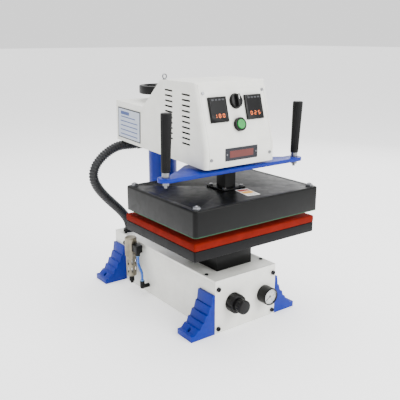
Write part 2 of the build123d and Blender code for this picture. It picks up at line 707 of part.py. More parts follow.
HEAD_OUTLINE = (
    (HEAD_FRONT, HEAD_BOTTOM),
    (HEAD_FRONT, BEND_Z),
    (TOP_FRONT_Y, HEAD_TOP),
    (TOP_REAR_Y, HEAD_TOP),
    (FOLD_Y, FOLD_Z),
    (BOX_BACK, box_top_z(BOX_BACK)),
    (BOX_BACK, underside_z(BOX_BACK)),
)
PANEL = Plane(
    origin=(0, HEAD_FRONT, BEND_Z),
    x_dir=(1, 0, 0),
    z_dir=(0, -cos(radians(PANEL_LEAN)), sin(radians(PANEL_LEAN))),
)
PANEL_IN_Y = HEAD_FRONT + SKIN
PANEL_TOP_V = (PANEL_TOP_Z - BEND_Z) / cos(radians(PANEL_LEAN))
INSIDE_X = HEAD_W / 2 - SKIN


def on_panel(u, v, proud=0.0):
    """The point u across, v up and proud out from the leaning panel."""
    return tuple(PANEL.from_local_coords((u, v, proud)))


def panel_rod(u, v, low, high, radius, mode=Mode.ADD):
    """A cylinder square to the leaning panel."""
    rod(on_panel(u, v, low), on_panel(u, v, high), radius, mode)


def panel_block(u, v, width, height, low, high, mode=Mode.ADD):
    """A box square to the leaning panel, centred at u, v."""
    with Locations(Plane(PANEL.from_local_coords((u, v, low)), PANEL.x_dir, PANEL.z_dir).location):
        Box(width, height, high - low, align=(Align.CENTER, Align.CENTER, Align.MIN), mode=mode)


def front_bend_edges(housing):
    """The edges round the front of a housing that are folded to a radius: both sides and the top."""
    across = housing.edges().filter_by(Axis.X).sort_by(Axis.Z)[-2:].sort_by(Axis.Y)[0]
    reach = across.center().Y + 0.01
    sides = housing.edges().filter_by(lambda edge: max(corner.Y for corner in edge.vertices()) < reach)
    return [across] + [edge for edge in sides if abs(edge.tangent_at(0).X) < 0.5]


def prism(points, half_width):
    """Extrude a closed outline, given as (y, z) points, to half_width on both sides."""
    with BuildSketch(Plane.YZ.offset(-half_width), mode=Mode.PRIVATE) as outline:
        with BuildLine():
            Polyline(*points, close=True)
        make_face()
    return extrude(outline.sketch, amount=2 * half_width, mode=Mode.PRIVATE)


# The whole folded skin, from which each sheet is cut by the zone it covers.
with BuildPart() as head_hollow:
    with BuildSketch(Plane.YZ.offset(-INSIDE_X)):
        with BuildLine():
            Polyline(*HEAD_OUTLINE, close=True)
        make_face()
        offset(amount=-SKIN, kind=Kind.INTERSECTION, mode=Mode.REPLACE)
    extrude(amount=2 * INSIDE_X)
    fillet(front_bend_edges(head_hollow), TOP_EDGE_R - SKIN)

with BuildPart() as head_skin:
    with BuildSketch(Plane.YZ.offset(-HEAD_W / 2)):
        with BuildLine():
            Polyline(*HEAD_OUTLINE, close=True)
        make_face()
    extrude(amount=HEAD_W)
    fillet(front_bend_edges(head_skin), TOP_EDGE_R)
    add(head_hollow.part, mode=Mode.SUBTRACT)

panel_head = on_panel(0, PANEL_TOP_V, -SKIN)
FRONT_ZONE = (
    (HEAD_FRONT - 20, HEAD_BOTTOM - 20),
    (PANEL_IN_Y, HEAD_BOTTOM - 20),
    (PANEL_IN_Y, BEND_Z - SKIN * tan(radians(PANEL_LEAN / 2))),
    (panel_head[1], panel_head[2]),
    (HEAD_FRONT - 20, panel_head[2]),
)
FLOOR_ZONE = (
    (PANEL_IN_Y, HEAD_BOTTOM - 20),
    (BOX_BACK - SKIN, HEAD_BOTTOM - 20),
    (BOX_BACK - SKIN, underside_z(BOX_BACK) + 2 * SKIN),
    (PANEL_IN_Y, underside_z(PANEL_IN_Y) + 2 * SKIN),
)
LID_ZONE = (
    (FOLD_Y + SKIN, box_top_z(FOLD_Y + SKIN) - BOX_LIP),
    (FOLD_Y + SKIN, HEAD_TOP),
    (BOX_BACK + 20, HEAD_TOP),
    (BOX_BACK + 20, box_top_z(BOX_BACK + 20) - BOX_LIP),
)
panel_half = HEAD_W / 2 - TOP_EDGE_R - PANEL_EDGE_FLANGE
front_zone = prism(FRONT_ZONE, panel_half)
panel_zone = prism(FRONT_ZONE, panel_half - PANEL_GAP)
floor_zone = prism(FLOOR_ZONE, INSIDE_X)
lid_zone = prism(LID_ZONE, HEAD_W)

with BuildPart() as head_shell:
    add(head_skin.part)
    add(front_zone, mode=Mode.SUBTRACT)
    add(floor_zone, mode=Mode.SUBTRACT)
    add(lid_zone, mode=Mode.SUBTRACT)
    with BuildSketch(Plane.YZ.offset(-HEAD_W / 2)):
        for column_y, top_z in VENT_COLUMNS:
            slots = [
                Location((column_y, top_z - VENT_PITCH * row, 0), (0, 0, RAKE)) for row in range(VENT_ROWS)
            ]
            with Locations(*slots):
                SlotOverall(VENT_LENGTH, VENT_HEIGHT)
    extrude(amount=HEAD_W, mode=Mode.SUBTRACT)
keep(head_shell, "head_shell")

CUTOUT_TRIM = 6.0
SWITCH_R = 14.0
with BuildPart() as control_panel:
    add(head_skin.part)
    add(panel_zone, mode=Mode.INTERSECT)
    for u in (-CONTROLLER_X, CONTROLLER_X):
        panel_block(
            u, CONTROLLER_V, CONTROLLER_W - CUTOUT_TRIM, CONTROLLER_H - CUTOUT_TRIM, -10, 10, Mode.SUBTRACT
        )
    panel_rod(CONTROLS_X, SELECTOR_V, -10, 10, SWITCH_R, Mode.SUBTRACT)
    panel_rod(CONTROLS_X, BUTTON_V, -10, 10, BUTTON_R + 3, Mode.SUBTRACT)
keep(control_panel, "control_panel")

ELBOW_Y, ELBOW_Z = CONDUIT_POINTS[0][1:]
with BuildPart() as head_floor:
    add(head_skin.part)
    add(floor_zone, mode=Mode.INTERSECT)
    rod((0, POST_Y, HEAD_BOTTOM), (0, POST_Y, BEAM_Z), SLEEVE_R + 4, Mode.SUBTRACT)
    block(
        (-half_column - SLIP, COLUMN_Y - half_column - SLIP, HEAD_BOTTOM - 5),
        (half_column + SLIP, COLUMN_Y + half_column + SLIP, BEAM_Z),
        Mode.SUBTRACT,
    )
    for x, y in HANGER_AT:
        for hanger_x in (-x, x):
            rod((hanger_x, y, BAR_TOP), (hanger_x, y, BEAM_Z), HANGER_R + SLIP, Mode.SUBTRACT)
    rod((ELBOW_X, ELBOW_Y, ELBOW_Z), (ELBOW_X, ELBOW_Y, BEAM_Z), WIRE_HOLE_R, Mode.SUBTRACT)
keep(head_floor, "head_floor")

with BuildPart() as rear_box_lid:
    add(head_skin.part)
    add(lid_zone, mode=Mode.INTERSECT)
    rod((0, POST_Y, FOLD_Z - 10), (0, POST_Y, HEAD_TOP), SPINDLE_NECK_R + 3, Mode.SUBTRACT)
keep(rear_box_lid, "rear_box_lid")

# ---------------------------------------------------------------- controls
LENS_W, LENS_H, LENS_T = 54.0, 46.0, 1.5
LENS_RISE = 8.0
CONTROLLER_DEPTH = 70.0
with BuildPart() as controllers:
    for u in (-CONTROLLER_X, CONTROLLER_X):
        panel_block(u, CONTROLLER_V, CONTROLLER_W, CONTROLLER_H, 0, BEZEL_PROUD)
        panel_block(
            u, CONTROLLER_V, CONTROLLER_W - CUTOUT_TRIM, CONTROLLER_H - CUTOUT_TRIM, -CONTROLLER_DEPTH, 0
        )
        panel_block(
            u, CONTROLLER_V + LENS_RISE, LENS_W, LENS_H, BEZEL_PROUD - LENS_T, BEZEL_PROUD, Mode.SUBTRACT
        )
keep(controllers, "controllers")

with BuildPart() as display_lenses:
    for u in (-CONTROLLER_X, CONTROLLER_X):
        panel_block(u, CONTROLLER_V + LENS_RISE, LENS_W, LENS_H, BEZEL_PROUD - LENS_T, BEZEL_PROUD)
keep(display_lenses, "display_lenses")

RING_PROUD = 12.0
SWITCH_DEPTH = 38.0
STEM_R = 4.0
STEM_PROUD = 14.0
BUTTON_PROUD = 15.0
BUTTON_SLACK = 0.3
with BuildPart() as switch_bodies:
    panel_rod(CONTROLS_X, BUTTON_V, 0, RING_PROUD, BUTTON_RING_R)
    panel_rod(CONTROLS_X, BUTTON_V, -SWITCH_DEPTH, 0, BUTTON_R + 3)
    panel_rod(CONTROLS_X, BUTTON_V, -SWITCH_DEPTH + 8, RING_PROUD, BUTTON_R + BUTTON_SLACK, Mode.SUBTRACT)
    panel_rod(CONTROLS_X, SELECTOR_V, 0, 3, SELECTOR_R + 3)
    panel_rod(CONTROLS_X, SELECTOR_V, -SWITCH_DEPTH, 0, SWITCH_R)
    panel_rod(CONTROLS_X, SELECTOR_V, 3, STEM_PROUD, STEM_R)
keep(switch_bodies, "switch_bodies")

with BuildPart() as start_button:
    panel_rod(CONTROLS_X, BUTTON_V, -12, BUTTON_PROUD, BUTTON_R)
    fillet(start_button.edges().filter_by(GeomType.CIRCLE).sort_by(Axis.Y)[0], 2.5)
keep(start_button, "start_button")

KNOB_BACK = 3.5
KNOB_PROUD = 22.0
with BuildPart() as selector_knob:
    panel_rod(CONTROLS_X, SELECTOR_V, KNOB_BACK, KNOB_BACK + 7, SELECTOR_R)
    panel_block(CONTROLS_X, SELECTOR_V, 11, 2 * SELECTOR_R - 4, KNOB_BACK + 7, KNOB_PROUD)
    panel_rod(CONTROLS_X, SELECTOR_V, KNOB_BACK, STEM_PROUD + 0.5, STEM_R + RUNNING_FIT, Mode.SUBTRACT)
keep(selector_knob, "selector_knob")

# ---------------------------------------------------------------- swing bar and grips
BAR_Z = BAR_TOP - BAR_T
TIP_R = BAR_FRONT_Y * -1 + GRIP_Y
BAR_HALF_OUTLINE = (
    (0, BAR_FRONT_Y),
    (GRIP_X, BAR_FRONT_Y),
    (GRIP_X, GRIP_Y + TIP_R),
    (GRIP_X - 31, GRIP_Y + TIP_R),
    (GRIP_X - 92, GRIP_Y + 67),
    (GRIP_X - 147, BAR_BACK_Y - 8),
    (0, BAR_BACK_Y),
)
with BuildPart() as swing_bar:
    with BuildSketch(Plane.XY.offset(BAR_Z)):
        with BuildLine():
            Polyline(*BAR_HALF_OUTLINE, close=True)
        make_face()
        with Locations((GRIP_X, GRIP_Y)):
            Circle(TIP_R)
        mirror(about=Plane.YZ)
    extrude(amount=BAR_T)
    chamfer(swing_bar.edges().group_by(Axis.Z)[-1], 1.5)
    for x, y in HANGER_AT:
        for hanger_x in (-x, x):
            rod((hanger_x, y, BAR_TOP), (hanger_x, y, BEAM_Z), HANGER_R)
    slip_column = half_column + SLIP
    block(
        (-slip_column, COLUMN_Y - slip_column, BAR_Z),
        (slip_column, COLUMN_Y + slip_column, BAR_TOP),
        Mode.SUBTRACT,
    )
    for x in (-GRIP_X, GRIP_X):
        rod((x, GRIP_Y, BAR_Z), (x, GRIP_Y, BAR_TOP), GRIP_STUD_R, Mode.SUBTRACT)
keep(swing_bar, "swing_bar")

GRIP_Z = BAR_TOP + COLLAR_H
# The grips are moulded square to the raked head, so they lean forward over their upright studs.
GRIP_TOP_Y = GRIP_Y - GRIP_H * tan(radians(RAKE))
STUD_IN_GRIP = 100.0
with BuildPart() as grips:
    for x in (-GRIP_X, GRIP_X):
        with BuildSketch(Plane.XY.offset(GRIP_Z)):
            with Locations((x, GRIP_Y)):
                Circle(GRIP_LOW_R)
        with BuildSketch(Plane.XY.offset(GRIP_Z + GRIP_H)):
            with Locations((x, GRIP_TOP_Y)):
                Circle(GRIP_TOP_R)
        loft()
    fillet(grips.edges().group_by(Axis.Z)[-1], 4)
    fillet(grips.edges().group_by(Axis.Z)[0], 2)
    for x in (-GRIP_X, GRIP_X):
        for flute in range(GRIP_FLUTES):
            turn = 2 * pi * flute / GRIP_FLUTES
            low = (x + (GRIP_LOW_R + 1.6) * cos(turn), GRIP_Y + (GRIP_LOW_R + 1.6) * sin(turn), GRIP_Z + 10)
            top_r = GRIP_TOP_R + 1.2
            high = (x + top_r * cos(turn), GRIP_TOP_Y + top_r * sin(turn), GRIP_Z + GRIP_H - 14)
            rod(low, high, 2.6, Mode.SUBTRACT)
        rod((x, GRIP_Y, GRIP_Z), (x, GRIP_Y, GRIP_Z + STUD_IN_GRIP), GRIP_STUD_R, Mode.SUBTRACT)
keep(grips, "grips")

EYE_X, EYE_Y = -134.0, -54.0
ACORN_R = 10.5
# Every fastener of the head is one group of separate solids.
with BuildPart() as head_fasteners:
    for x, y in stud_spots:
        rod((x, y, HEAT_TOP), (x, y, COVER_TOP), STUD_R)
        rod((x, y, COVER_TOP), (x, y, COVER_TOP + 2), ACORN_R + 2)
        hex_prism((x, y, COVER_TOP + 2), (x, y, COVER_TOP + 7), 2 * ACORN_R)
        with Locations((x, y, COVER_TOP + 7)):
            Sphere(ACORN_R - 1.5, arc_size1=0)
    for u in (-PANEL_SCREW_X, PANEL_SCREW_X):
        panel_rod(u, PANEL_SCREW_V, 0, 3, 5.0)
        rod((u, HEAD_FRONT, PANEL_SCREW_Z), (u, HEAD_FRONT - 3, PANEL_SCREW_Z), 5.0)
    rod((EYE_X, EYE_Y, HEAD_TOP), (EYE_X, EYE_Y, HEAD_TOP + 2), 6.0)
    with Locations(Location((EYE_X, EYE_Y, HEAD_TOP + 10), (90, 0, 0))):
        Torus(7.5, 2.2)
    rod((EYE_X, EYE_Y, HEAD_TOP), (EYE_X, EYE_Y, HEAD_TOP + 3), 2.4)
    for x in (-COLLAR_HALF + 12, COLLAR_HALF - 12):
        for y in (COLUMN_Y - COLLAR_HALF + 12, COLUMN_Y + COLLAR_HALF - 12):
            hex_prism((x, y, COVER_TOP + COLLAR_T), (x, y, COVER_TOP + COLLAR_T + 5), 13.0)
    for x in (-GRIP_X, GRIP_X):
        rod((x, GRIP_Y, BAR_Z - 20), (x, GRIP_Y, GRIP_Z + STUD_IN_GRIP), GRIP_STUD_R)
        rod((x, GRIP_Y, BAR_TOP), (x, GRIP_Y, GRIP_Z), COLLAR_R)
        rod((x, GRIP_Y, BAR_Z - 2), (x, GRIP_Y, BAR_Z), COLLAR_R)
        hex_prism((x, GRIP_Y, BAR_Z - 12), (x, GRIP_Y, BAR_Z - 2), 19.0)
keep(head_fasteners, "head_fasteners")

# ---------------------------------------------------------------- clamp handwheel
SPOKES = 3
with BuildPart() as handwheel:
    rim_top = WHEEL_RIM_Z + WHEEL_RIM_H
    rod((0, POST_Y, WHEEL_RIM_Z), (0, POST_Y, rim_top), WHEEL_R)
    fillet(handwheel.edges().filter_by(GeomType.CIRCLE), 4)
    rod((0, POST_Y, WHEEL_RIM_Z), (0, POST_Y, rim_top), WHEEL_R - WHEEL_RIM, Mode.SUBTRACT)
    with Locations(Location((0, POST_Y, WHEEL_RIM_Z + 10))):
        with PolarLocations(0, SPOKES):
            Box(WHEEL_R - WHEEL_RIM + 4, 18, 10, align=(Align.MIN, Align.CENTER, Align.MIN))
    rod((0, POST_Y, WHEEL_HUB_Z), (0, POST_Y, WHEEL_HUB_TOP + 6), WHEEL_HUB_R)
    rod((0, POST_Y, WHEEL_HUB_Z), (0, POST_Y, WHEEL_HUB_TOP), SPINDLE_NECK_R + RUNNING_FIT, Mode.SUBTRACT)
keep(handwheel, "handwheel")

# ---------------------------------------------------------------- front plate fittings
REG_BODY_D = 50.0
BONNET_LOBES = 8
with BuildPart() as regulator_body:
    rod((REG_X, FRONT - REG_NUT_T, REG_Z), (REG_X, FRONT, REG_Z), REG_NUT_R)
    chamfer(regulator_body.edges().filter_by(GeomType.CIRCLE).sort_by(Axis.Y)[0], 4)
    for lobe in range(BONNET_LOBES):
        turn = 2 * pi * lobe / BONNET_LOBES
        x, z = REG_X + (REG_NUT_R + 3) * cos(turn), REG_Z + (REG_NUT_R + 3) * sin(turn)
        rod((x, FRONT - REG_NUT_T, z), (x, FRONT - 5, z), 7, Mode.SUBTRACT)
    block((REG_X - 26, INNER_FRONT, REG_Z - 26), (REG_X + 26, INNER_FRONT + REG_BODY_D, REG_Z + 26))
    rod((REG_X, FRONT, REG_Z), (REG_X, INNER_FRONT, REG_Z), REG_NUT_R / 2)
    rod((REG_X, FRONT - REG_NUT_T - REG_KNOB_T + 6, REG_Z), (REG_X, FRONT, REG_Z), REG_STEM_R)
keep(regulator_body, "regulator_body")

KNOB_FLUTES = 16
KNOB_Y = FRONT - REG_NUT_T - REG_KNOB_GAP
with BuildPart() as regulator_knob:
    rod((REG_X, KNOB_Y - REG_KNOB_T, REG_Z), (REG_X, KNOB_Y, REG_Z), REG_KNOB_R)
    chamfer(regulator_knob.edges().filter_by(GeomType.CIRCLE).sort_by(Axis.Y)[0], 3)
    for flute in range(KNOB_FLUTES):
        turn = 2 * pi * flute / KNOB_FLUTES
        x, z = REG_X + (REG_KNOB_R + 1) * cos(turn), REG_Z + (REG_KNOB_R + 1) * sin(turn)
        rod((x, KNOB_Y - REG_KNOB_T, z), (x, KNOB_Y - 4, z), 2.2, Mode.SUBTRACT)
    rod(
        (REG_X, FRONT - REG_NUT_T - REG_KNOB_T + 5, REG_Z),
        (REG_X, KNOB_Y, REG_Z),
        REG_STEM_R + RUNNING_FIT,
        Mode.SUBTRACT,
    )
keep(regulator_knob, "regulator_knob")

GAUGE_FACE = FRONT - GAUGE_DEPTH
GAUGE_RIM = 3.5
DIAL_Y = GAUGE_FACE + GAUGE_WELL
LENS_GLASS_T = 2.0
with BuildPart() as gauge_case:
    rod((GAUGE_X, GAUGE_FACE, GAUGE_Z), (GAUGE_X, FRONT, GAUGE_Z), GAUGE_R)
    fillet(gauge_case.edges().filter_by(GeomType.CIRCLE).sort_by(Axis.Y)[0], 2)
    rod((GAUGE_X, GAUGE_FACE, GAUGE_Z), (GAUGE_X, DIAL_Y, GAUGE_Z), GAUGE_R - GAUGE_RIM, Mode.SUBTRACT)
    rod((GAUGE_X, FRONT, GAUGE_Z), (GAUGE_X, FRONT + 34, GAUGE_Z), GAUGE_R / 3)
keep(gauge_case, "gauge_case")

with BuildPart() as gauge_dial:
    rod((GAUGE_X, DIAL_Y - DIAL_T, GAUGE_Z), (GAUGE_X, DIAL_Y, GAUGE_Z), GAUGE_R - GAUGE_RIM)
    rod((GAUGE_X, DIAL_Y - 4.2, GAUGE_Z), (GAUGE_X, DIAL_Y - DIAL_T, GAUGE_Z), NEEDLE_SHAFT_R)
keep(gauge_dial, "gauge_dial")

NEEDLE_REST = 215.0
with BuildPart() as gauge_needle:
    rod((GAUGE_X, DIAL_Y - 4.4, GAUGE_Z), (GAUGE_X, DIAL_Y - 2.2, GAUGE_Z), 3.5)
    with Locations(Location((GAUGE_X, DIAL_Y - 3, GAUGE_Z), (0, -NEEDLE_REST, 0))):
        Box(22, 1, 1.8, align=(Align.MIN, Align.CENTER, Align.CENTER))
    rod(
        (GAUGE_X, DIAL_Y - 4.3, GAUGE_Z),
        (GAUGE_X, DIAL_Y - 2.2, GAUGE_Z),
        NEEDLE_SHAFT_R + RUNNING_FIT,
        Mode.SUBTRACT,
    )
keep(gauge_needle, "gauge_needle")

with BuildPart() as gauge_lens:
    lens_y = GAUGE_FACE + 1
    rod((GAUGE_X, lens_y, GAUGE_Z), (GAUGE_X, lens_y + LENS_GLASS_T, GAUGE_Z), GAUGE_R - GAUGE_RIM)
keep(gauge_lens, "gauge_lens")

# ---------------------------------------------------------------- air filter, tube and fittings
FILTER_LOW = FILTER_TOP - FILTER_HEAD_H
GUARD_LOW = FILTER_LOW - GUARD_H
FILTER_RIBS = 6
FITTING_R = 9.0
SPIGOT = 3.0
OUTLET_W, OUTLET_H = 26.0, 28.0
INLET_END = FILTER_Y + FILTER_W / 2 + 23.0
TUBE_X = FILTER_X + 4
OUTLET_Y = FILTER_Y - FILTER_W / 2 - 20.0
OUTLET_LOW = PORT_Z - OUTLET_H / 2
TUBE_TOP = OUTLET_LOW - 6.0
WALL_FITTING_Y, WALL_FITTING_Z = 79.0, 34.0
TUBE_BOTTOM = WALL_FITTING_Z + 12.0
SOCKET_DEPTH = 12.0

with BuildPart() as filter_head:
    rod((FILTER_X, FILTER_Y, FILTER_LOW), (FILTER_X, FILTER_Y, FILTER_TOP), FILTER_W / 2)
    fillet(filter_head.edges().filter_by(GeomType.CIRCLE).group_by(Axis.Z)[-1], 5)
    for rib in range(FILTER_RIBS):
        turn = radians(140 + 16 * rib)
        x, y = FILTER_X + (FILTER_W / 2 + 1) * cos(turn), FILTER_Y + (FILTER_W / 2 + 1) * sin(turn)
        rod((x, y, FILTER_LOW), (x, y, FILTER_TOP), 2.2, Mode.SUBTRACT)
    block((FILTER_X, FILTER_Y - 14, PORT_Z - 14), (-HALF_W, FILTER_Y + 14, BASE_H - LID_LIP - 1))
    rod(
        (FILTER_X, FILTER_Y + FILTER_W / 2 - SPIGOT, PORT_Z),
        (FILTER_X, FILTER_Y + FILTER_W, PORT_Z),
        FITTING_R,
        Mode.SUBTRACT,
    )
    block(
        (TUBE_X - OUTLET_W / 2, FILTER_Y - FILTER_W, OUTLET_LOW),
        (TUBE_X + OUTLET_W / 2, FILTER_Y - FILTER_W / 2 + 2 * SPIGOT, OUTLET_LOW + OUTLET_H),
        Mode.SUBTRACT,
    )
keep(filter_head, "filter_head")

GUARD_SLOTS = 8
GUARD_WALL = 2.0
with BuildPart() as filter_guard:
    rod((FILTER_X, FILTER_Y, GUARD_LOW), (FILTER_X, FILTER_Y, FILTER_LOW), GUARD_R)
    fillet(filter_guard.edges().filter_by(GeomType.CIRCLE).group_by(Axis.Z)[0], 6)
    rod(
        (FILTER_X, FILTER_Y, GUARD_LOW + 4),
        (FILTER_X, FILTER_Y, FILTER_LOW),
        GUARD_R - GUARD_WALL,
        Mode.SUBTRACT,
    )
    with Locations((FILTER_X, FILTER_Y, GUARD_LOW + 28), (FILTER_X, FILTER_Y, GUARD_LOW + 58)):
        with PolarLocations(0, GUARD_SLOTS, start_angle=180 / GUARD_SLOTS):
            Box(
                GUARD_R + 2, 6, 20, align=(Align.MIN, Align.CENTER, Align.CENTER), mode=Mode.SUBTRACT
            )
keep(filter_guard, "filter_guard")

with BuildPart() as drain_knob:
    drain_top = GUARD_LOW - 0.5
    rod((FILTER_X, FILTER_Y, drain_top - DRAIN_H + 8), (FILTER_X, FILTER_Y, drain_top), DRAIN_R)
    rod((FILTER_X, FILTER_Y, drain_top - DRAIN_H), (FILTER_X, FILTER_Y, drain_top), DRAIN_R - 4)
    with Locations((FILTER_X, FILTER_Y, drain_top - DRAIN_H + 8)):
        with PolarLocations(DRAIN_R + 0.6, 6):
            Cylinder(
                2.4, DRAIN_H - 14, align=(Align.CENTER, Align.CENTER, Align.MIN), mode=Mode.SUBTRACT
            )
keep(drain_knob, "drain_knob")

# The push-in fittings: the filter's inlet, its outlet elbow and the elbow in the base's wall.
with BuildPart() as air_fittings:
    rod((FILTER_X, FILTER_Y + FILTER_W / 2 - SPIGOT, PORT_Z), (FILTER_X, INLET_END, PORT_Z), FITTING_R)
    rod((FILTER_X, INLET_END - SOCKET_DEPTH, PORT_Z), (FILTER_X, INLET_END, PORT_Z), TUBE_R, Mode.SUBTRACT)
    block(
        (TUBE_X - OUTLET_W / 2, OUTLET_Y - 14, OUTLET_LOW),
        (TUBE_X + OUTLET_W / 2, FILTER_Y - FILTER_W / 2 + 2 * SPIGOT, OUTLET_LOW + OUTLET_H),
    )
    rod((TUBE_X, OUTLET_Y, OUTLET_LOW - 14), (TUBE_X, OUTLET_Y, OUTLET_LOW), FITTING_R)
    rod((TUBE_X, OUTLET_Y, OUTLET_LOW - 14), (TUBE_X, OUTLET_Y, TUBE_TOP), TUBE_R, Mode.SUBTRACT)
    rod((-HALF_W, WALL_FITTING_Y, WALL_FITTING_Z), (TUBE_X, WALL_FITTING_Y, WALL_FITTING_Z), FITTING_R - 1)
    with Locations((TUBE_X, WALL_FITTING_Y, WALL_FITTING_Z)):
        Sphere(FITTING_R)
    wall_top = TUBE_BOTTOM + SOCKET_DEPTH
    rod((TUBE_X, WALL_FITTING_Y, WALL_FITTING_Z), (TUBE_X, WALL_FITTING_Y, wall_top), FITTING_R)
    rod((TUBE_X, WALL_FITTING_Y, TUBE_BOTTOM), (TUBE_X, WALL_FITTING_Y, wall_top), TUBE_R, Mode.SUBTRACT)
keep(air_fittings, "air_fittings")

# The tube drops out of the filter's elbow, crosses forward and drops into the wall's elbow.
with BuildPart() as air_tube:
    with BuildLine() as tube_line:
        FilletPolyline(
            (TUBE_X, OUTLET_Y, TUBE_TOP),
            (TUBE_X, OUTLET_Y, 118),
            (TUBE_X, WALL_FITTING_Y, 88),
            (TUBE_X, WALL_FITTING_Y, TUBE_BOTTOM),
            radius=24,
        )
    with BuildSketch(Plane(origin=(TUBE_X, OUTLET_Y, TUBE_TOP), z_dir=(0, 0, -1))):
        Circle(TUBE_R)
    sweep(path=tube_line.line)
keep(air_tube, "air_tube")

# ---------------------------------------------------------------- rear plate fittings and internals
with BuildPart() as power_inlet:
    block((INLET_X - 30, REAR, INLET_Z - 24), (INLET_X + 30, REAR + 8, INLET_Z + 24))
    fillet(power_inlet.edges().filter_by(Axis.Y), 4)
    block(
        (INLET_X - INLET_BODY_X, REAR - 40, INLET_Z - INLET_BODY_Z),
        (INLET_X + INLET_BODY_X, REAR, INLET_Z + INLET_BODY_Z),
    )
    block((INLET_X - 12, REAR - 8, INLET_Z - 9), (INLET_X + 12, REAR + 8, INLET_Z + 9), Mode.SUBTRACT)
    for pin_x in (-7, 0, 7):
        rod((INLET_X + pin_x, REAR - 8, INLET_Z), (INLET_X + pin_x, REAR + 4, INLET_Z), 1.5)
keep(power_inlet, "power_inlet")

VALVE_X, VALVE_Y = -70.0, 0.0
with BuildPart() as air_valve:
    block((VALVE_X - 24, VALVE_Y - 45, CYLINDER_Z), (VALVE_X + 24, VALVE_Y + 45, CYLINDER_Z + 34))
    chamfer(air_valve.edges().filter_by(Axis.Z), 3)
    for coil_y in (-22, 22):
        block(
            (VALVE_X - 15, VALVE_Y + coil_y - 14, CYLINDER_Z + 34),
            (VALVE_X + 15, VALVE_Y + coil_y + 14, CYLINDER_Z + 72),
        )
keep(air_valve, "air_valve")

# Two solid-state relays stand on the arm's rear rail, inside the housing.
RELAY_Z = BEAM_Z + BEAM_H + RAIL_T
with BuildPart() as relays:
    for relay_x in (-90, 50):
        block((relay_x, RAIL_Y[1] - 8, RELAY_Z), (relay_x + 40, RAIL_Y[1] + RAIL_W + 8, RELAY_Z + 26))
        block((relay_x + 4, RAIL_Y[1], RELAY_Z + 26), (relay_x + 36, RAIL_Y[1] + RAIL_W, RELAY_Z + 34))
keep(relays, "relays")

# ---------------------------------------------------------------- conduit
with BuildPart() as conduit_gland:
    gland = CONDUIT_POINTS[-1]
    rod((gland[0], gland[1], BASE_H), gland, GLAND_R)
    hex_prism((gland[0], gland[1], BASE_H), (gland[0], gland[1], BASE_H + 8), 2 * GLAND_R + 6)
    rod((gland[0], gland[1], BASE_H + 8), gland, CONDUIT_R - 1, Mode.SUBTRACT)
keep(conduit_gland, "conduit_gland")

with BuildPart() as conduit_elbow:
    mouth = CONDUIT_POINTS[0]
    elbow_top = underside_z(mouth[1] - ELBOW_R)
    rod((ELBOW_X, mouth[1], mouth[2]), (ELBOW_X, mouth[1], elbow_top), ELBOW_R)
    with Locations((ELBOW_X, mouth[1], mouth[2])):
        Sphere(ELBOW_R)
    rod((ELBOW_X, mouth[1], mouth[2]), mouth, ELBOW_R)
    rod((mouth[0] + 14, mouth[1], mouth[2]), mouth, CONDUIT_R - 1, Mode.SUBTRACT)
keep(conduit_elbow, "conduit_elbow")


def bend_radii(points):
    """As large an arc at each inner point as its two runs allow."""
    runs = [Vector(*b) - Vector(*a) for a, b in zip(points, points[1:])]
    return [
        0.45 * min(a.length, b.length) / tan(radians(a.get_angle(b)) / 2) for a, b in zip(runs, runs[1:])
    ]


conduit_radii = bend_radii(CONDUIT_POINTS)
with BuildPart() as conduit:
    with BuildLine() as conduit_line:
        FilletPolyline(*CONDUIT_POINTS, radius=conduit_radii)
    with BuildSketch(Plane(origin=CONDUIT_POINTS[0], z_dir=conduit_line.line % 0)):
        Circle(CONDUIT_R)
    sweep(path=conduit_line.line)
keep(conduit, "conduit")
print("conduit bend radii", [round(radius) for radius in conduit_radii])
section_times_length = pi * CONDUIT_R**2 * sum(edge.length for edge in conduit_line.line.edges())
print("conduit volume over section times length", round(conduit.part.volume / section_times_length, 4))

# ---------------------------------------------------------------- plates
NAME_W, NAME_H, NAME_Z = 134.0, 41.0, 567.0
DATA_Y, DATA_Z, DATA_L, DATA_H = 169.0, 637.0, 158.0, 112.0
PLATE_T = 1.5
with BuildPart() as rating_plates:
    block((-NAME_W / 2, HEAD_FRONT - PLATE_T, NAME_Z), (NAME_W / 2, HEAD_FRONT, NAME_Z + NAME_H))
    fillet(rating_plates.edges().filter_by(Axis.Y), 2)
    with BuildSketch(Plane.YZ.offset(-HEAD_W / 2 - PLATE_T)):
        with Locations(Location((DATA_Y, DATA_Z, 0), (0, 0, RAKE))):
            Rectangle(DATA_L, DATA_H)
    extrude(amount=PLATE_T)
keep(rating_plates, "rating_plates")
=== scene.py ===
"""Looks of a swing-away, air-operated heat press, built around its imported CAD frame.

Every size is in metres and every place is in the frame's own axes: +X to the machine's right, +Y to
its back and +Z up, with the origin on the floor under the middle of the base.
"""
import json
import logging
import math
from dataclasses import dataclass
from enum import Enum
from typing import Iterable, Optional, Sequence

import bpy
from mathutils import Matrix, Vector


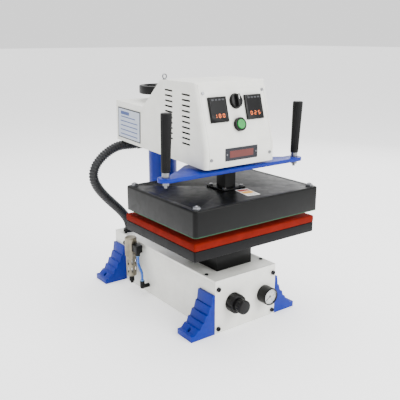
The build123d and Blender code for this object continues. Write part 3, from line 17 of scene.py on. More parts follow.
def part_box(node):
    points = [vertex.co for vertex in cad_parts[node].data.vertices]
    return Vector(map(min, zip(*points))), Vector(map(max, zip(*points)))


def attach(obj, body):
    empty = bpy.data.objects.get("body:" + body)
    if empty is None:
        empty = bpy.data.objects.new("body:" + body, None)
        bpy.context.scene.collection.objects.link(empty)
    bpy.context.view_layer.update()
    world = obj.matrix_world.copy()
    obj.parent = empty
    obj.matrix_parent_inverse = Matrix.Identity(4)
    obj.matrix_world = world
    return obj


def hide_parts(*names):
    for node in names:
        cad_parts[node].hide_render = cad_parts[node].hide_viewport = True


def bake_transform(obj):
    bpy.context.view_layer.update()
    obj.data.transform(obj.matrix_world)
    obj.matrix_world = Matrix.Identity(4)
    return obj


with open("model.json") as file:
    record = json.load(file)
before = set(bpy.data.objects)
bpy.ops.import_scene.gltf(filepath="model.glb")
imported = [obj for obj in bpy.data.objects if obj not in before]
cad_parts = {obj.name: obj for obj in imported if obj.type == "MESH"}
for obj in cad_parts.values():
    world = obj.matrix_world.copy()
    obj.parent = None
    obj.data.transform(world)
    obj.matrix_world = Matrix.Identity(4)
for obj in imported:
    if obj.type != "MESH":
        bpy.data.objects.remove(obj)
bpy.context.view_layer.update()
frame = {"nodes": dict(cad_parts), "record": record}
LOG = logging.getLogger("heat_press")
MM = 0.001


# ---------------------------------------------------------------- colours and nodes
def linear(hex_colour: str) -> tuple[float, float, float, float]:
    """Turn an sRGB hex colour into the linear colour that the shaders read.

    Args:
        hex_colour: The colour as "#RRGGBB".

    Returns:
        Linear red, green, blue and an alpha of 1.
    """
    channels = [int(hex_colour[i:i + 2], 16) / 255 for i in (1, 3, 5)]
    curve = [c / 12.92 if c <= 0.04045 else ((c + 0.055) / 1.055) ** 2.4 for c in channels]
    return (*curve, 1.0)


def node(tree: bpy.types.NodeTree, kind: str, settings: Optional[dict] = None,
         links: Optional[dict] = None) -> bpy.types.Node:
    """Add one shader node with its settings and what feeds its sockets.

    Args:
        tree: The material's node tree.
        kind: The node's type, without the ShaderNode prefix.
        settings: Attribute names, or input socket names, and their values.
        links: Input socket names or indices, and the output sockets that feed them.

    Returns:
        The new node.
    """
    made = tree.nodes.new("ShaderNode" + kind)
    for name, value in (settings or {}).items():
        if name in made.inputs:
            made.inputs[name].default_value = value
        else:
            setattr(made, name, value)
    for name, source in (links or {}).items():
        tree.links.new(source, made.inputs[name])
    return made


class Grain(Enum):
    """How a surface was made, which decides its relief and its unevenness."""

    POWDER = "powder coat's orange peel"
    ENAMEL = "brushed-on or dipped enamel over a casting"
    BRUSHED = "drawn or ground in one direction"
    TURNED = "machined or plated smooth"
    CAST = "die cast or sand cast"
    MOULDED = "moulded with a fine spark-eroded grain"
    FOAM = "sponge silicone with open pores"
    WOOL = "felted fibres"
    PLAIN = "smooth, as glass, print or film"


@dataclass(frozen=True)
class Finish:
    """One real finish, from which its material is made.

    Args:
        name: The finish's common name.
        colour: The main colour, as sRGB hex.
        shade: The colour of its darker patches, as sRGB hex.
        grain: How the surface was made.
        roughness: The shader's roughness at its middle.
        metallic: 1 for bare metal, else 0.
        ior: The index of refraction of a coating or a plastic.
        coat: How strong a clear top layer is.
        grain_mm: The size of the relief, in millimetres.
        relief_mm: The depth of the relief, in millimetres.
        edge_highlight: The lighter colour painted along edges as an edge highlight, or None where no edge
            highlight is painted.
        glow: The strength of its own light.
        transmission: 1 for a clear glass or plastic.
        sheen_level: How strongly it mirrors, 0.5 for a clean surface and less for a dull one.
    """

    name: str
    colour: str
    shade: str
    grain: Grain
    roughness: float
    metallic: float = 0.0
    ior: float = 1.5
    coat: float = 0.0
    grain_mm: float = 3.0
    relief_mm: float = 0.02
    edge_highlight: Optional[str] = None
    glow: float = 0.0
    transmission: float = 0.0
    sheen_level: float = 0.5

    def material(self) -> bpy.types.Material:
        """Return the finish's material, made once."""
        known = bpy.data.materials.get("finish_" + self.name)
        return known or self._make()

    def _make(self) -> bpy.types.Material:
        """Build the material's nodes.

        Returns:
            The new material.
        """
        made = bpy.data.materials.new("finish_" + self.name)
        made.use_nodes = True
        tree = made.node_tree
        tree.nodes.clear()
        place = node(tree, "TexCoord").outputs["Object"]
        colour, roughness = self._colour(tree, place), self._roughness(tree, place)
        shader = node(tree, "BsdfPrincipled", {
            "Metallic": self.metallic, "Coat Weight": self.coat, "Coat Roughness": 0.12,
            "Transmission Weight": self.transmission, "Specular IOR Level": self.sheen_level,
        }, {"Base Color": colour, "Roughness": roughness})
        if not self.metallic:
            shader.inputs["IOR"].default_value = self.ior
        if self.glow:
            shader.inputs["Emission Color"].default_value = linear(self.colour)
            shader.inputs["Emission Strength"].default_value = self.glow
        relief = self._relief(tree, place)
        if relief is not None:
            tree.links.new(relief, shader.inputs["Normal"])
        node(tree, "OutputMaterial", links={"Surface": shader.outputs["BSDF"]})
        return made

    def _colour(self, tree: bpy.types.NodeTree, place: bpy.types.NodeSocket) -> bpy.types.NodeSocket:
        """Mix the colour with its darker patches and with a painted edge highlight.

        Args:
            tree: The material's node tree.
            place: The Object coordinates.

        Returns:
            The socket that holds the colour.
        """
        patch_scale = 1 / (45 * MM) if self.grain is not Grain.WOOL else 1 / (6 * MM)
        cloud = node(tree, "TexNoise", {"Scale": patch_scale, "Detail": 4.0, "Roughness": 0.6},
                     {"Vector": place})
        share = node(tree, "MapRange", {"From Min": 0.35, "From Max": 0.75, "To Min": 0.0,
                                        "To Max": 1.0}, {"Value": cloud.outputs["Fac"]})
        mix = node(tree, "Mix", {"data_type": "RGBA"}, {"Factor": share.outputs["Result"]})
        mix.inputs[6].default_value = linear(self.colour)
        mix.inputs[7].default_value = linear(self.shade)
        colour = mix.outputs[2]
        if self.edge_highlight is None:
            return colour
        # A rounded normal differs from the true one only along edges, where a lighter colour is painted as an
        # edge highlight, broken into patches by noise.
        rounded = node(tree, "Bevel", {"samples": 4, "Radius": 1.6 * MM})
        true = node(tree, "NewGeometry")
        along = node(tree, "VectorMath", {"operation": "DOT_PRODUCT"},
                     {0: rounded.outputs["Normal"], 1: true.outputs["Normal"]})
        highlight_noise = node(tree, "TexNoise", {"Scale": 1 / (7 * MM), "Detail": 6.0, "Roughness": 0.7},
                     {"Vector": place})
        bent = node(tree, "MapRange", {"From Min": 0.97, "From Max": 0.80, "To Min": 0.0, "To Max": 1.0},
                    {"Value": along.outputs["Value"]})
        highlight_breakup = node(tree, "MapRange", {"From Min": 0.50, "From Max": 0.62, "To Min": 0.0,
                                          "To Max": 0.55}, {"Value": highlight_noise.outputs["Fac"]})
        edge = node(tree, "Math", {"operation": "MULTIPLY"},
                    {0: bent.outputs["Result"], 1: highlight_breakup.outputs["Result"]})
        edge_lit = node(tree, "Mix", {"data_type": "RGBA"}, {"Factor": edge.outputs["Value"], 6: colour})
        edge_lit.inputs[7].default_value = linear(self.edge_highlight)
        return edge_lit.outputs[2]

    def _roughness(self, tree: bpy.types.NodeTree, place: bpy.types.NodeSocket) -> bpy.types.NodeSocket:
        """Vary the roughness a little, as handling and cleaning do.

        Args:
            tree: The material's node tree.
            place: The Object coordinates.

        Returns:
            The socket that holds the roughness.
        """
        smears = node(tree, "TexNoise", {"Scale": 1 / (28 * MM), "Detail": 5.0, "Distortion": 0.6},
                      {"Vector": place})
        spread = 0.05 if self.grain is Grain.PLAIN else 0.12
        ends = {"From Min": 0.3, "From Max": 0.7, "To Min": max(0.02, self.roughness - spread / 2),
                "To Max": self.roughness + spread / 2}
        return node(tree, "MapRange", ends, {"Value": smears.outputs["Fac"]}).outputs["Result"]

    def _relief(self, tree: bpy.types.NodeTree,
                place: bpy.types.NodeSocket) -> Optional[bpy.types.NodeSocket]:
        """Give the surface the relief that its making leaves.

        Args:
            tree: The material's node tree.
            place: The Object coordinates.

        Returns:
            The bumped normal, or None on a plain surface.
        """
        if self.grain is Grain.PLAIN:
            return None
        scale = 1 / (self.grain_mm * MM)
        if self.grain is Grain.BRUSHED:
            # Fine lines along X: the pattern is drawn out forty times in that direction.
            drawn = node(tree, "Mapping", {"Scale": (0.025, 1.0, 1.0)}, {"Vector": place})
            height = node(tree, "TexNoise", {"Scale": scale, "Detail": 3.0},
                          {"Vector": drawn.outputs["Vector"]}).outputs["Fac"]
        elif self.grain in (Grain.FOAM, Grain.WOOL):
            height = node(tree, "TexVoronoi", {"Scale": scale, "Randomness": 1.0},
                          {"Vector": place}).outputs["Distance"]
        else:
            height = node(tree, "TexNoise", {"Scale": scale, "Detail": 2.0, "Roughness": 0.45},
                          {"Vector": place}).outputs["Fac"]
        bump = node(tree, "Bump", {"Strength": 1.0, "Distance": self.relief_mm * MM}, {"Height": height})
        return bump.outputs["Normal"]


# The lighter edge colour that some finishes below are given is a painted edge highlight, laid along their edges.
# Powder-coated mild steel sheet: an even warm grey-white with a faint orange peel and a soft sheen.
SHEET_COAT = Finish("sheet_powder_coat", "#E2E2DC", "#D8D8D1", Grain.POWDER, 0.45, ior=1.42,
                    grain_mm=4.0, relief_mm=0.05, edge_highlight="#F8F7F2")
# Blue enamel on iron and plate: deep, slightly glossy, wavy where it has run over the casting.
BLUE_ENAMEL = Finish("blue_enamel", "#04238C", "#031D78", Grain.ENAMEL, 0.38, ior=1.34, coat=0.04,
                     grain_mm=7.0, relief_mm=0.25, edge_highlight="#1540A8", sheen_level=0.3)
# Black powder coat on steel: nearly black with a soft broad highlight.
BLACK_COAT = Finish("black_powder_coat", "#070808", "#050505", Grain.POWDER, 0.36, ior=1.30,
                    grain_mm=3.0, relief_mm=0.04, edge_highlight="#141516", sheen_level=0.3)
# Black anodised aluminium plate: darker and drier than paint, with the mill's lines just showing.
BLACK_ANODISED = Finish("black_anodised_aluminium", "#08080A", "#060607", Grain.BRUSHED, 0.46,
                        ior=1.30, grain_mm=2.0, relief_mm=0.02, edge_highlight="#2A2B2C", sheen_level=0.3)
BARE_ALUMINIUM = Finish("milled_aluminium", "#B9BABC", "#A8A9AC", Grain.BRUSHED, 0.32, metallic=1.0,
                        grain_mm=1.5, relief_mm=0.02)
BRIGHT_STEEL = Finish("zinc_plated_steel", "#7E7F82", "#66676A", Grain.TURNED, 0.30, metallic=1.0,
                      grain_mm=2.0, relief_mm=0.02)
CHROMED_ROD = Finish("hard_chromed_steel", "#C9CACC", "#BDBEC0", Grain.TURNED, 0.12, metallic=1.0,
                     grain_mm=3.0, relief_mm=0.005)
BLACK_OXIDE = Finish("black_oxide_steel", "#26262A", "#1B1B1E", Grain.TURNED, 0.40, metallic=0.8,
                     grain_mm=1.5, relief_mm=0.02)
SINTERED_BRONZE = Finish("sintered_bronze", "#A87B45", "#8C6537", Grain.CAST, 0.45, metallic=1.0,
                         grain_mm=1.0, relief_mm=0.03)
# Die-cast zinc and aluminium of the filter: light grey, a little rough, with rounded ribs.
CAST_SILVER = Finish("die_cast_aluminium", "#8F8878", "#6F695B", Grain.CAST, 0.38, metallic=0.85,
                     grain_mm=2.0, relief_mm=0.08)
# Sponge silicone rubber: brick red, dull, with pores drawn coarser than life so that they show.
RED_SILICONE = Finish("red_sponge_silicone", "#6E1408", "#5C1005", Grain.FOAM, 0.85, ior=1.3, sheen_level=0.2,
                      grain_mm=3.0, relief_mm=0.25)
GREEN_SILICONE = Finish("green_silicone_strip", "#0F4023", "#0B331B", Grain.MOULDED, 0.6, ior=1.41)
MINERAL_WOOL = Finish("mineral_wool_felt", "#B8B098", "#9D957E", Grain.WOOL, 0.95, grain_mm=2.5,
                      relief_mm=0.8)
# Moulded ABS and nylon housings: black with a fine spark grain and a dull sheen.
BLACK_PLASTIC = Finish("moulded_black_abs", "#080809", "#060606", Grain.MOULDED, 0.38, ior=1.34, sheen_level=0.35,
                       grain_mm=0.9, relief_mm=0.03)
KEY_GREY = Finish("silicone_keys", "#3C3D40", "#323336", Grain.MOULDED, 0.6, ior=1.41)
# Injection-moulded PVC grip: black with a slight sheen on its flutes' crests.
GRIP_RUBBER = Finish("moulded_pvc_grip", "#080809", "#050506", Grain.MOULDED, 0.46, ior=1.32, sheen_level=0.35,
                     grain_mm=1.2, relief_mm=0.06)
GREEN_LENS = Finish("green_button_lens", "#02802F", "#027029", Grain.PLAIN, 0.25, ior=1.45,
                    glow=0.25)
SMOKED_WINDOW = Finish("smoked_acrylic", "#070708", "#050506", Grain.PLAIN, 0.30, ior=1.3, sheen_level=0.3)
LED_ORANGE = Finish("lit_segments_orange", "#FF7A28", "#FF6A18", Grain.PLAIN, 0.4, glow=1.0)
DIAL_WHITE = Finish("printed_dial", "#F0F0EC", "#E6E6E2", Grain.PLAIN, 0.5)
DIAL_INK = Finish("dial_ink", "#141414", "#1A1A1A", Grain.PLAIN, 0.6)
CLEAR_LENS = Finish("clear_acrylic", "#FFFFFF", "#FCFEFE", Grain.PLAIN, 0.04, ior=1.49,
                    transmission=1.0)
# Brushed aluminium plate with a dark etched ground.
ETCHED_PLATE = Finish("etched_aluminium_plate", "#2A2B31", "#222328", Grain.BRUSHED, 0.38,
                      metallic=0.6, grain_mm=1.5, relief_mm=0.03)
LABEL_STOCK = Finish("vinyl_label", "#A9B0BE", "#9FA7B6", Grain.PLAIN, 0.35, coat=0.2)
LABEL_BLUE = Finish("label_ink_blue", "#2B437F", "#243A72", Grain.PLAIN, 0.45)
PLATE_RED = Finish("etched_ink_red", "#5E150C", "#4F1009", Grain.PLAIN, 0.42)
LABEL_WHITE = Finish("label_white", "#E9E8E2", "#DEDDD6", Grain.PLAIN, 0.4)
LABEL_YELLOW = Finish("label_yellow", "#D89A14", "#CB8F10", Grain.PLAIN, 0.4)
LABEL_RED = Finish("label_red", "#A32A17", "#962412", Grain.PLAIN, 0.4)
TUBE_BLUE = Finish("polyurethane_tube", "#0E56B4", "#0C4CA2", Grain.PLAIN, 0.22, ior=1.5, coat=0.3)
# Corrugated polyamide conduit: dark grey, satin, its ribs catching a row of small lights.
CONDUIT_GREY = Finish("corrugated_polyamide", "#1C1D1F", "#151618", Grain.MOULDED, 0.42, ior=1.42,
                      grain_mm=1.5, relief_mm=0.05)
RELEASE_BLUE = Finish("acetal_release_ring", "#6FA3D8", "#6297CD", Grain.MOULDED, 0.35, ior=1.48)


# ---------------------------------------------------------------- modelling helpers
def deselect() -> None:
    """Leave object mode with nothing selected."""
    if bpy.context.object and bpy.context.object.mode != "OBJECT":
        bpy.ops.object.mode_set(mode="OBJECT")
    bpy.ops.object.select_all(action="DESELECT")


def activate(piece: bpy.types.Object) -> bpy.types.Object:
    """Make a piece the only selected and the active object, and return it."""
    deselect()
    piece.select_set(True)
    bpy.context.view_layer.objects.active = piece
    return piece


def settle(piece: bpy.types.Object) -> None:
    """Put a piece's place into its mesh, so that its object sits at the origin."""
    activate(piece)
    bpy.ops.object.transform_apply(location=True, rotation=True, scale=True)


def apply_modifier(piece: bpy.types.Object, kind: str, **settings: object) -> None:
    """Add a modifier with its settings and apply it at once.

    Args:
        piece: The object to change.
        kind: The modifier's type.
        **settings: Its properties.
    """
    activate(piece)
    modifier = piece.modifiers.new(kind.lower(), kind)
    for name, value in settings.items():
        setattr(modifier, name, value)
    bpy.ops.object.modifier_apply(modifier=modifier.name)


def dress(piece: bpy.types.Object, finish: Finish, body: str, smooth_deg: float = 35.0) -> bpy.types.Object:
    """Smooth a finished piece, give it its finish and make it ride on its body.

    Args:
        piece: The finished mesh object.
        finish: What its surface is.
        body: The CAD body that it moves with.
        smooth_deg: Edges flatter than this are shaded smooth.

    Returns:
        The same piece.
    """
    activate(piece)
    bpy.ops.object.shade_smooth_by_angle(angle=math.radians(smooth_deg))
    piece.data.materials.clear()
    piece.data.materials.append(finish.material())
    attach(piece, body)
    LOG.info("%s: %d faces, %s on %s", piece.name, len(piece.data.polygons), finish.name, body)
    return piece


def box(name: str, centre: Sequence[float], size: Sequence[float], turn: Optional[Matrix] = None,
        bevel: float = 0.0, segments: int = 3) -> bpy.types.Object:
    """Model a block with rounded edges.

    Args:
        name: The piece's name.
        centre: Its middle.
        size: Its three sides before it is turned.
        turn: How it is turned, or None.
        bevel: The radius of its edges, or 0.
        segments: How many faces round an edge.

    Returns:
        The block, at the origin with its place in its mesh.
    """
    deselect()
    bpy.ops.mesh.primitive_cube_add(size=1, location=(0, 0, 0))
    piece = bpy.context.object
    piece.name = piece.data.name = name
    piece.scale = size
    settle(piece)
    if bevel:
        bpy.ops.object.mode_set(mode="EDIT")
        bpy.ops.mesh.select_all(action="SELECT")
        bpy.ops.mesh.bevel(offset=bevel, segments=segments, affect="EDGES")
        bpy.ops.object.mode_set(mode="OBJECT")
    piece.matrix_world = Matrix.Translation(Vector(centre)) @ (turn.to_4x4() if turn else Matrix())
    settle(piece)
    return piece


def turned(name: str, base: Sequence[float], axis: Sequence[float], profile: Sequence[tuple[float, float]],
           sides: int = 48) -> bpy.types.Object:
    """Model a turned piece by extruding and scaling a disc's rim along its axis.

    Args:
        name: The piece's name.
        base: Where the profile's zero height stands.
        axis: The direction of rising height.
        profile: Radius and height pairs, from the bottom disc to the top one.
        sides: How many sides the turning has.

    Returns:
        The closed piece, at the origin with its place in its mesh.
    """
    deselect()
    first_radius, first_height = profile[0]
    bpy.ops.mesh.primitive_circle_add(vertices=sides, radius=first_radius, fill_type="NGON",
                                      location=(0, 0, first_height))
    piece = bpy.context.object
    piece.name = piece.data.name = name
    settle(piece)
    bpy.ops.object.mode_set(mode="EDIT")
    bpy.ops.mesh.select_all(action="SELECT")
    radius, height = first_radius, first_height
    for next_radius, next_height in profile[1:]:
        bpy.ops.mesh.extrude_region_move(TRANSFORM_OT_translate={"value": (0, 0, next_height - height)})
        share = next_radius / radius
        bpy.ops.transform.resize(value=(share, share, 1), center_override=(0, 0, next_height))
        radius, height = next_radius, next_height
    bpy.ops.mesh.select_all(action="SELECT")
    bpy.ops.mesh.normals_make_consistent(inside=False)
    bpy.ops.object.mode_set(mode="OBJECT")
    up = Vector(axis).normalized().to_track_quat("Z", "Y").to_matrix().to_4x4()
    piece.matrix_world = Matrix.Translation(Vector(base)) @ up
    settle(piece)
    return piece


def join(name: str, pieces: Iterable[bpy.types.Object]) -> bpy.types.Object:
    """Join pieces of one kind into one named object.

    Args:
        name: The joined piece's name.
        pieces: The objects to join.

    Returns:
        The joined object.
    """
    pieces = list(pieces)
    deselect()
    for piece in pieces:
        piece.select_set(True)
    bpy.context.view_layer.objects.active = pieces[0]
    if len(pieces) > 1:
        bpy.ops.object.join()
    joined = bpy.context.view_layer.objects.active
    joined.name = joined.data.name = name
    return joined


def body_of_node(name: str) -> str:
    """Return the CAD body that a node belongs to."""
    bodies = frame["record"]["behaviour"]["bodies"]
    return next(body for body, members in bodies.items() if name in members)


def softened(name: str, finish: Finish, radius: float, segments: int = 2,
             corner_deg: float = 30.0) -> bpy.types.Object:
    """Model the real, slightly rounded form of a sharp CAD node, which it stands for.

    The node's mesh is copied, its loose triangles are merged into flat faces, and its corners get a
    narrow bevel, so that edges catch the light as bent, cast or moulded ones do.

    Args:
        name: The CAD node's name.
        finish: What its surface is.
        radius: The radius of its edges.
        segments: How many faces round an edge.
        corner_deg: Edges sharper than this are rounded.

    Returns:
        The finished piece.
    """
    deselect()
    source = frame["nodes"][name]
    piece = bpy.data.objects.new(name + "_shape", source.data.copy())
    bpy.context.collection.objects.link(piece)
    piece.data.materials.clear()
    activate(piece)
    bpy.ops.object.mode_set(mode="EDIT")
    bpy.ops.mesh.select_all(action="SELECT")
    bpy.ops.mesh.remove_doubles(threshold=0.01 * MM)
    bpy.ops.mesh.dissolve_limited(angle_limit=math.radians(0.5))
    bpy.ops.object.mode_set(mode="OBJECT")
    apply_modifier(piece, "BEVEL", width=radius, segments=segments, limit_method="ANGLE",
                   angle_limit=math.radians(corner_deg), use_clamp_overlap=True,
                   harden_normals=False)
    apply_modifier(piece, "TRIANGULATE", min_vertices=5)
    dress(piece, finish, body_of_node(name), 40.0)
    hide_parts(name)
    return piece


def finish_node(name: str, finish: Finish) -> None:
    """Give a CAD node its finish and leave its shape alone."""
    target = frame["nodes"][name]
    target.data.materials.clear()
    target.data.materials.append(finish.material())
    LOG.info("%s: kept, %s", name, finish.name)


# ---------------------------------------------------------------- camera, floor and light
@dataclass
class Studio:
    """The camera at the viewing angle of a product shot, a pale floor and soft light.

    Args:
        eye: Where the camera stands.
        turn_deg: How far it is turned to the left, seen from above.
        dip_deg: How far it looks down.
        lens_mm: Its focal length on a 36 mm sensor.
    """

    eye: tuple[float, float, float] = (-1.2131, -1.7022, 0.9485)
    turn_deg: float = 36.6
    dip_deg: float = 15.6
    lens_mm: float = 52.86

    def build(self) -> None:
        """Make the camera, the floor and the lights."""
        self._camera()
        self._floor()
        self._light("key", (1.2, -3.2, 2.3), (0.0, -0.1, 0.4), 2.2, 150)
        self._light("left_fill", (-3.4, -1.0, 2.0), (0.0, 0.0, 0.4), 2.4, 18)
        self._light("top", (0.2, 0.6, 3.4), (0.0, 0.0, 0.4), 2.8, 120)
        self._light("right_rim", (2.8, 1.2, 1.6), (0.0, 0.0, 0.5), 1.6, 26)
        world = bpy.data.worlds.new("studio")
        world.use_nodes = True
        backdrop = world.node_tree.nodes["Background"]
        backdrop.inputs["Color"].default_value = linear("#FFFFFF")
        backdrop.inputs["Strength"].default_value = 1.35
        bpy.context.scene.world = world

    def _camera(self) -> None:
        """Make the camera and set it as the scene's."""
        deselect()
        bpy.ops.object.camera_add(location=self.eye, rotation=(
            math.radians(90 - self.dip_deg), 0.0, -math.radians(self.turn_deg)))
        camera = bpy.context.object
        camera.name = "camera"
        camera.data.lens = self.lens_mm
        camera.data.sensor_width = 36.0
        bpy.context.scene.camera = camera

    def _floor(self) -> None:
        """Make the plain pale floor."""
        deselect()
        bpy.ops.mesh.primitive_plane_add(size=90.0, location=(0, 0, 0))
        floor = bpy.context.object
        floor.name = "floor"
        surface = Finish("studio_floor", "#FFFFFF", "#FDFDFD", Grain.PLAIN, 0.9, glow=0.5)
        floor.data.materials.append(surface.material())

    def _light(self, name: str, place: Sequence[float], target: Sequence[float], size: float,
               watts: float) -> None:
        """Make one soft light.

        Args:
            name: Its name.
            place: Where it hangs.
            target: What it points at.
            size: The side of its square.
            watts: Its power.
        """
        deselect()
        bpy.ops.object.light_add(type="AREA", location=place)
        light = bpy.context.object
        light.name = name
        light.data.size = size
        light.data.energy = watts
        aim = Vector(target) - Vector(place)
        light.rotation_euler = aim.to_track_quat("-Z", "Y").to_euler()


# ---------------------------------------------------------------- conduit
@dataclass
class Conduit:
    """The corrugated conduit that carries the head's wires down to the base.

    Args:
        route: The points it is led by, from the head's elbow to the gland on the lid.
        radius: Its outside radius.
        groove: How deep its grooves are.
        pitch: From one rib to the next, drawn as long as two real ribs so that it shows.
        sides: How many sides its section has.
    """

    route: tuple[tuple[float, float, float], ...] = (
        (-0.072, 0.240, 0.549), (-0.106, 0.240, 0.549), (-0.146, 0.242, 0.551), (-0.187, 0.244, 0.537),
        (-0.225, 0.246, 0.512), (-0.252, 0.248, 0.480), (-0.261, 0.250, 0.443), (-0.248, 0.253, 0.405),
        (-0.217, 0.257, 0.364), (-0.178, 0.263, 0.324), (-0.139, 0.271, 0.286), (-0.109, 0.280, 0.250),
        (-0.092, 0.288, 0.220), (-0.092, 0.288, 0.197))
    radius: float = 0.018
    groove: float = 0.0028
    pitch: float = 0.0100
    sides: int = 28

    def build(self) -> bpy.types.Object:
        """Returns:
            The conduit's mesh.
        """
        line = self._centreline()
        steps = max(2, round(self._length(line) / (self.pitch / 4)))
        path = self._evenly(line, steps)
        piece = self._tube(path)
        piece = dress_without_body(piece, CONDUIT_GREY)
        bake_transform(piece)
        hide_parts("conduit")
        LOG.info("conduit: %.0f mm long", self._length(path) / MM)
        return piece

    def _centreline(self) -> list[Vector]:
        """Return the points of the smooth curve through the route."""
        curve = bpy.data.curves.new("conduit_line", "CURVE")
        curve.dimensions = "3D"
        spline = curve.splines.new("NURBS")
        spline.points.add(len(self.route) - 1)
        for point, place in zip(spline.points, self.route):
            point.co = (*place, 1.0)
        spline.order_u = 3
        spline.use_endpoint_u = True
        spline.resolution_u = 12
        holder = bpy.data.objects.new("conduit_line", curve)
        bpy.context.collection.objects.link(holder)
        mesh = bpy.data.meshes.new_from_object(holder)
        line = [vertex.co.copy() for vertex in mesh.vertices]
        bpy.data.objects.remove(holder)
        bpy.data.meshes.remove(mesh)
        return line

    @staticmethod
    def _length(line: Sequence[Vector]) -> float:
        """Return the length of a line of points."""
        return sum((b - a).length for a, b in zip(line, line[1:]))

    def _evenly(self, line: Sequence[Vector], steps: int) -> list[Vector]:
        """Space a line's points evenly.

        Args:
            line: The points as they come.
            steps: How many stretches to make.

        Returns:
            One more point than there are stretches.
        """
        total, walked, index, even = self._length(line), 0.0, 0, [line[0].copy()]
        for step in range(1, steps):
            goal = total * step / steps
            while walked + (line[index + 1] - line[index]).length < goal:
                walked += (line[index + 1] - line[index]).length
                index += 1
            stretch = line[index + 1] - line[index]
            even.append(line[index] + stretch * ((goal - walked) / stretch.length))
        return even + [line[-1].copy()]

    def _tube(self, path: Sequence[Vector]) -> bpy.types.Object:
        """Make a closed tube along the path, four rings to a rib.

        Args:
            path: Its evenly spaced centre points.

        Returns:
            The tube.
        """
        vertices, faces = [], []
        side = Vector((0, 1, 0))
        for index, centre in enumerate(path):
            ahead = (path[min(index + 1, len(path) - 1)] - path[max(index - 1, 0)]).normalized()
            side = (side - ahead * side.dot(ahead)).normalized()
            up = ahead.cross(side)
            radius = self.radius - (self.groove if index % 4 in (2, 3) else 0.0)
            for corner in range(self.sides):
                turn = 2 * math.pi * corner / self.sides
                vertices.append(centre + radius * (math.cos(turn) * side + math.sin(turn) * up))
        for ring in range(len(path) - 1):
            for corner in range(self.sides):
                beside = (corner + 1) % self.sides
                low, high = ring * self.sides, (ring + 1) * self.sides
                faces.append((low + corner, low + beside, high + beside, high + corner))
        faces.append(tuple(reversed(range(self.sides))))
        faces.append(tuple((len(path) - 1) * self.sides + c for c in range(self.sides)))
        mesh = bpy.data.meshes.new("conduit_tube")
        mesh.from_pydata([tuple(v) for v in vertices], [], faces)
        mesh.update()
        piece = bpy.data.objects.new("conduit_tube", mesh)
        bpy.context.collection.objects.link(piece)
        activate(piece)
        bpy.ops.object.mode_set(mode="EDIT")
        bpy.ops.mesh.select_all(action="SELECT")
        bpy.ops.mesh.normals_make_consistent(inside=False)
        bpy.ops.object.mode_set(mode="OBJECT")
        return piece


def dress_without_body(piece: bpy.types.Object, finish: Finish) -> bpy.types.Object:
    """Args:
        piece: The finished mesh object.
        finish: What its surface is.

    Returns:
        The same piece.
    """
    activate(piece)
    bpy.ops.object.shade_smooth_by_angle(angle=math.radians(50))
    piece.data.materials.append(finish.material())
    return piece


# ---------------------------------------------------------------- the control panel
@dataclass
class PanelPlane:
    """The leaning control panel, in which u runs right, v up the slope and proud outwards.

    Args:
        bend_z: The height at which the panel leans back.
        lean_deg: How far it leans back.
    """

    bend_z: float = 0.610
    lean_deg: float = 15.4

    def __post_init__(self) -> None:
        """Work out the plane's foot and directions."""
        lean = math.radians(self.lean_deg)
        self.foot = Vector((0.0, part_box("head_shell")[0][1], self.bend_z))
        self.across = Vector((1, 0, 0))
        self.up = Vector((0, math.sin(lean), math.cos(lean)))
        self.out = Vector((0, -math.cos(lean), math.sin(lean)))

    def at(self, u: float, v: float, proud: float = 0.0) -> Vector:
        """Return the point u across, v up and proud out from the panel."""
        return self.foot + u * self.across + v * self.up + proud * self.out

    def turn(self) -> Matrix:
        """Return the turn that lays a flat block on the panel."""
        return Matrix((self.across, self.up, self.out)).transposed()


SEGMENTS = {  # which of a digit's seven bars are lit, from the top bar clockwise, the middle bar last
    "0": (1, 1, 1, 1, 1, 1, 0), "1": (0, 1, 1, 0, 0, 0, 0), "2": (1, 1, 0, 1, 1, 0, 1),
    "5": (1, 0, 1, 1, 0, 1, 1), "8": (1, 1, 1, 1, 1, 1, 1),
}


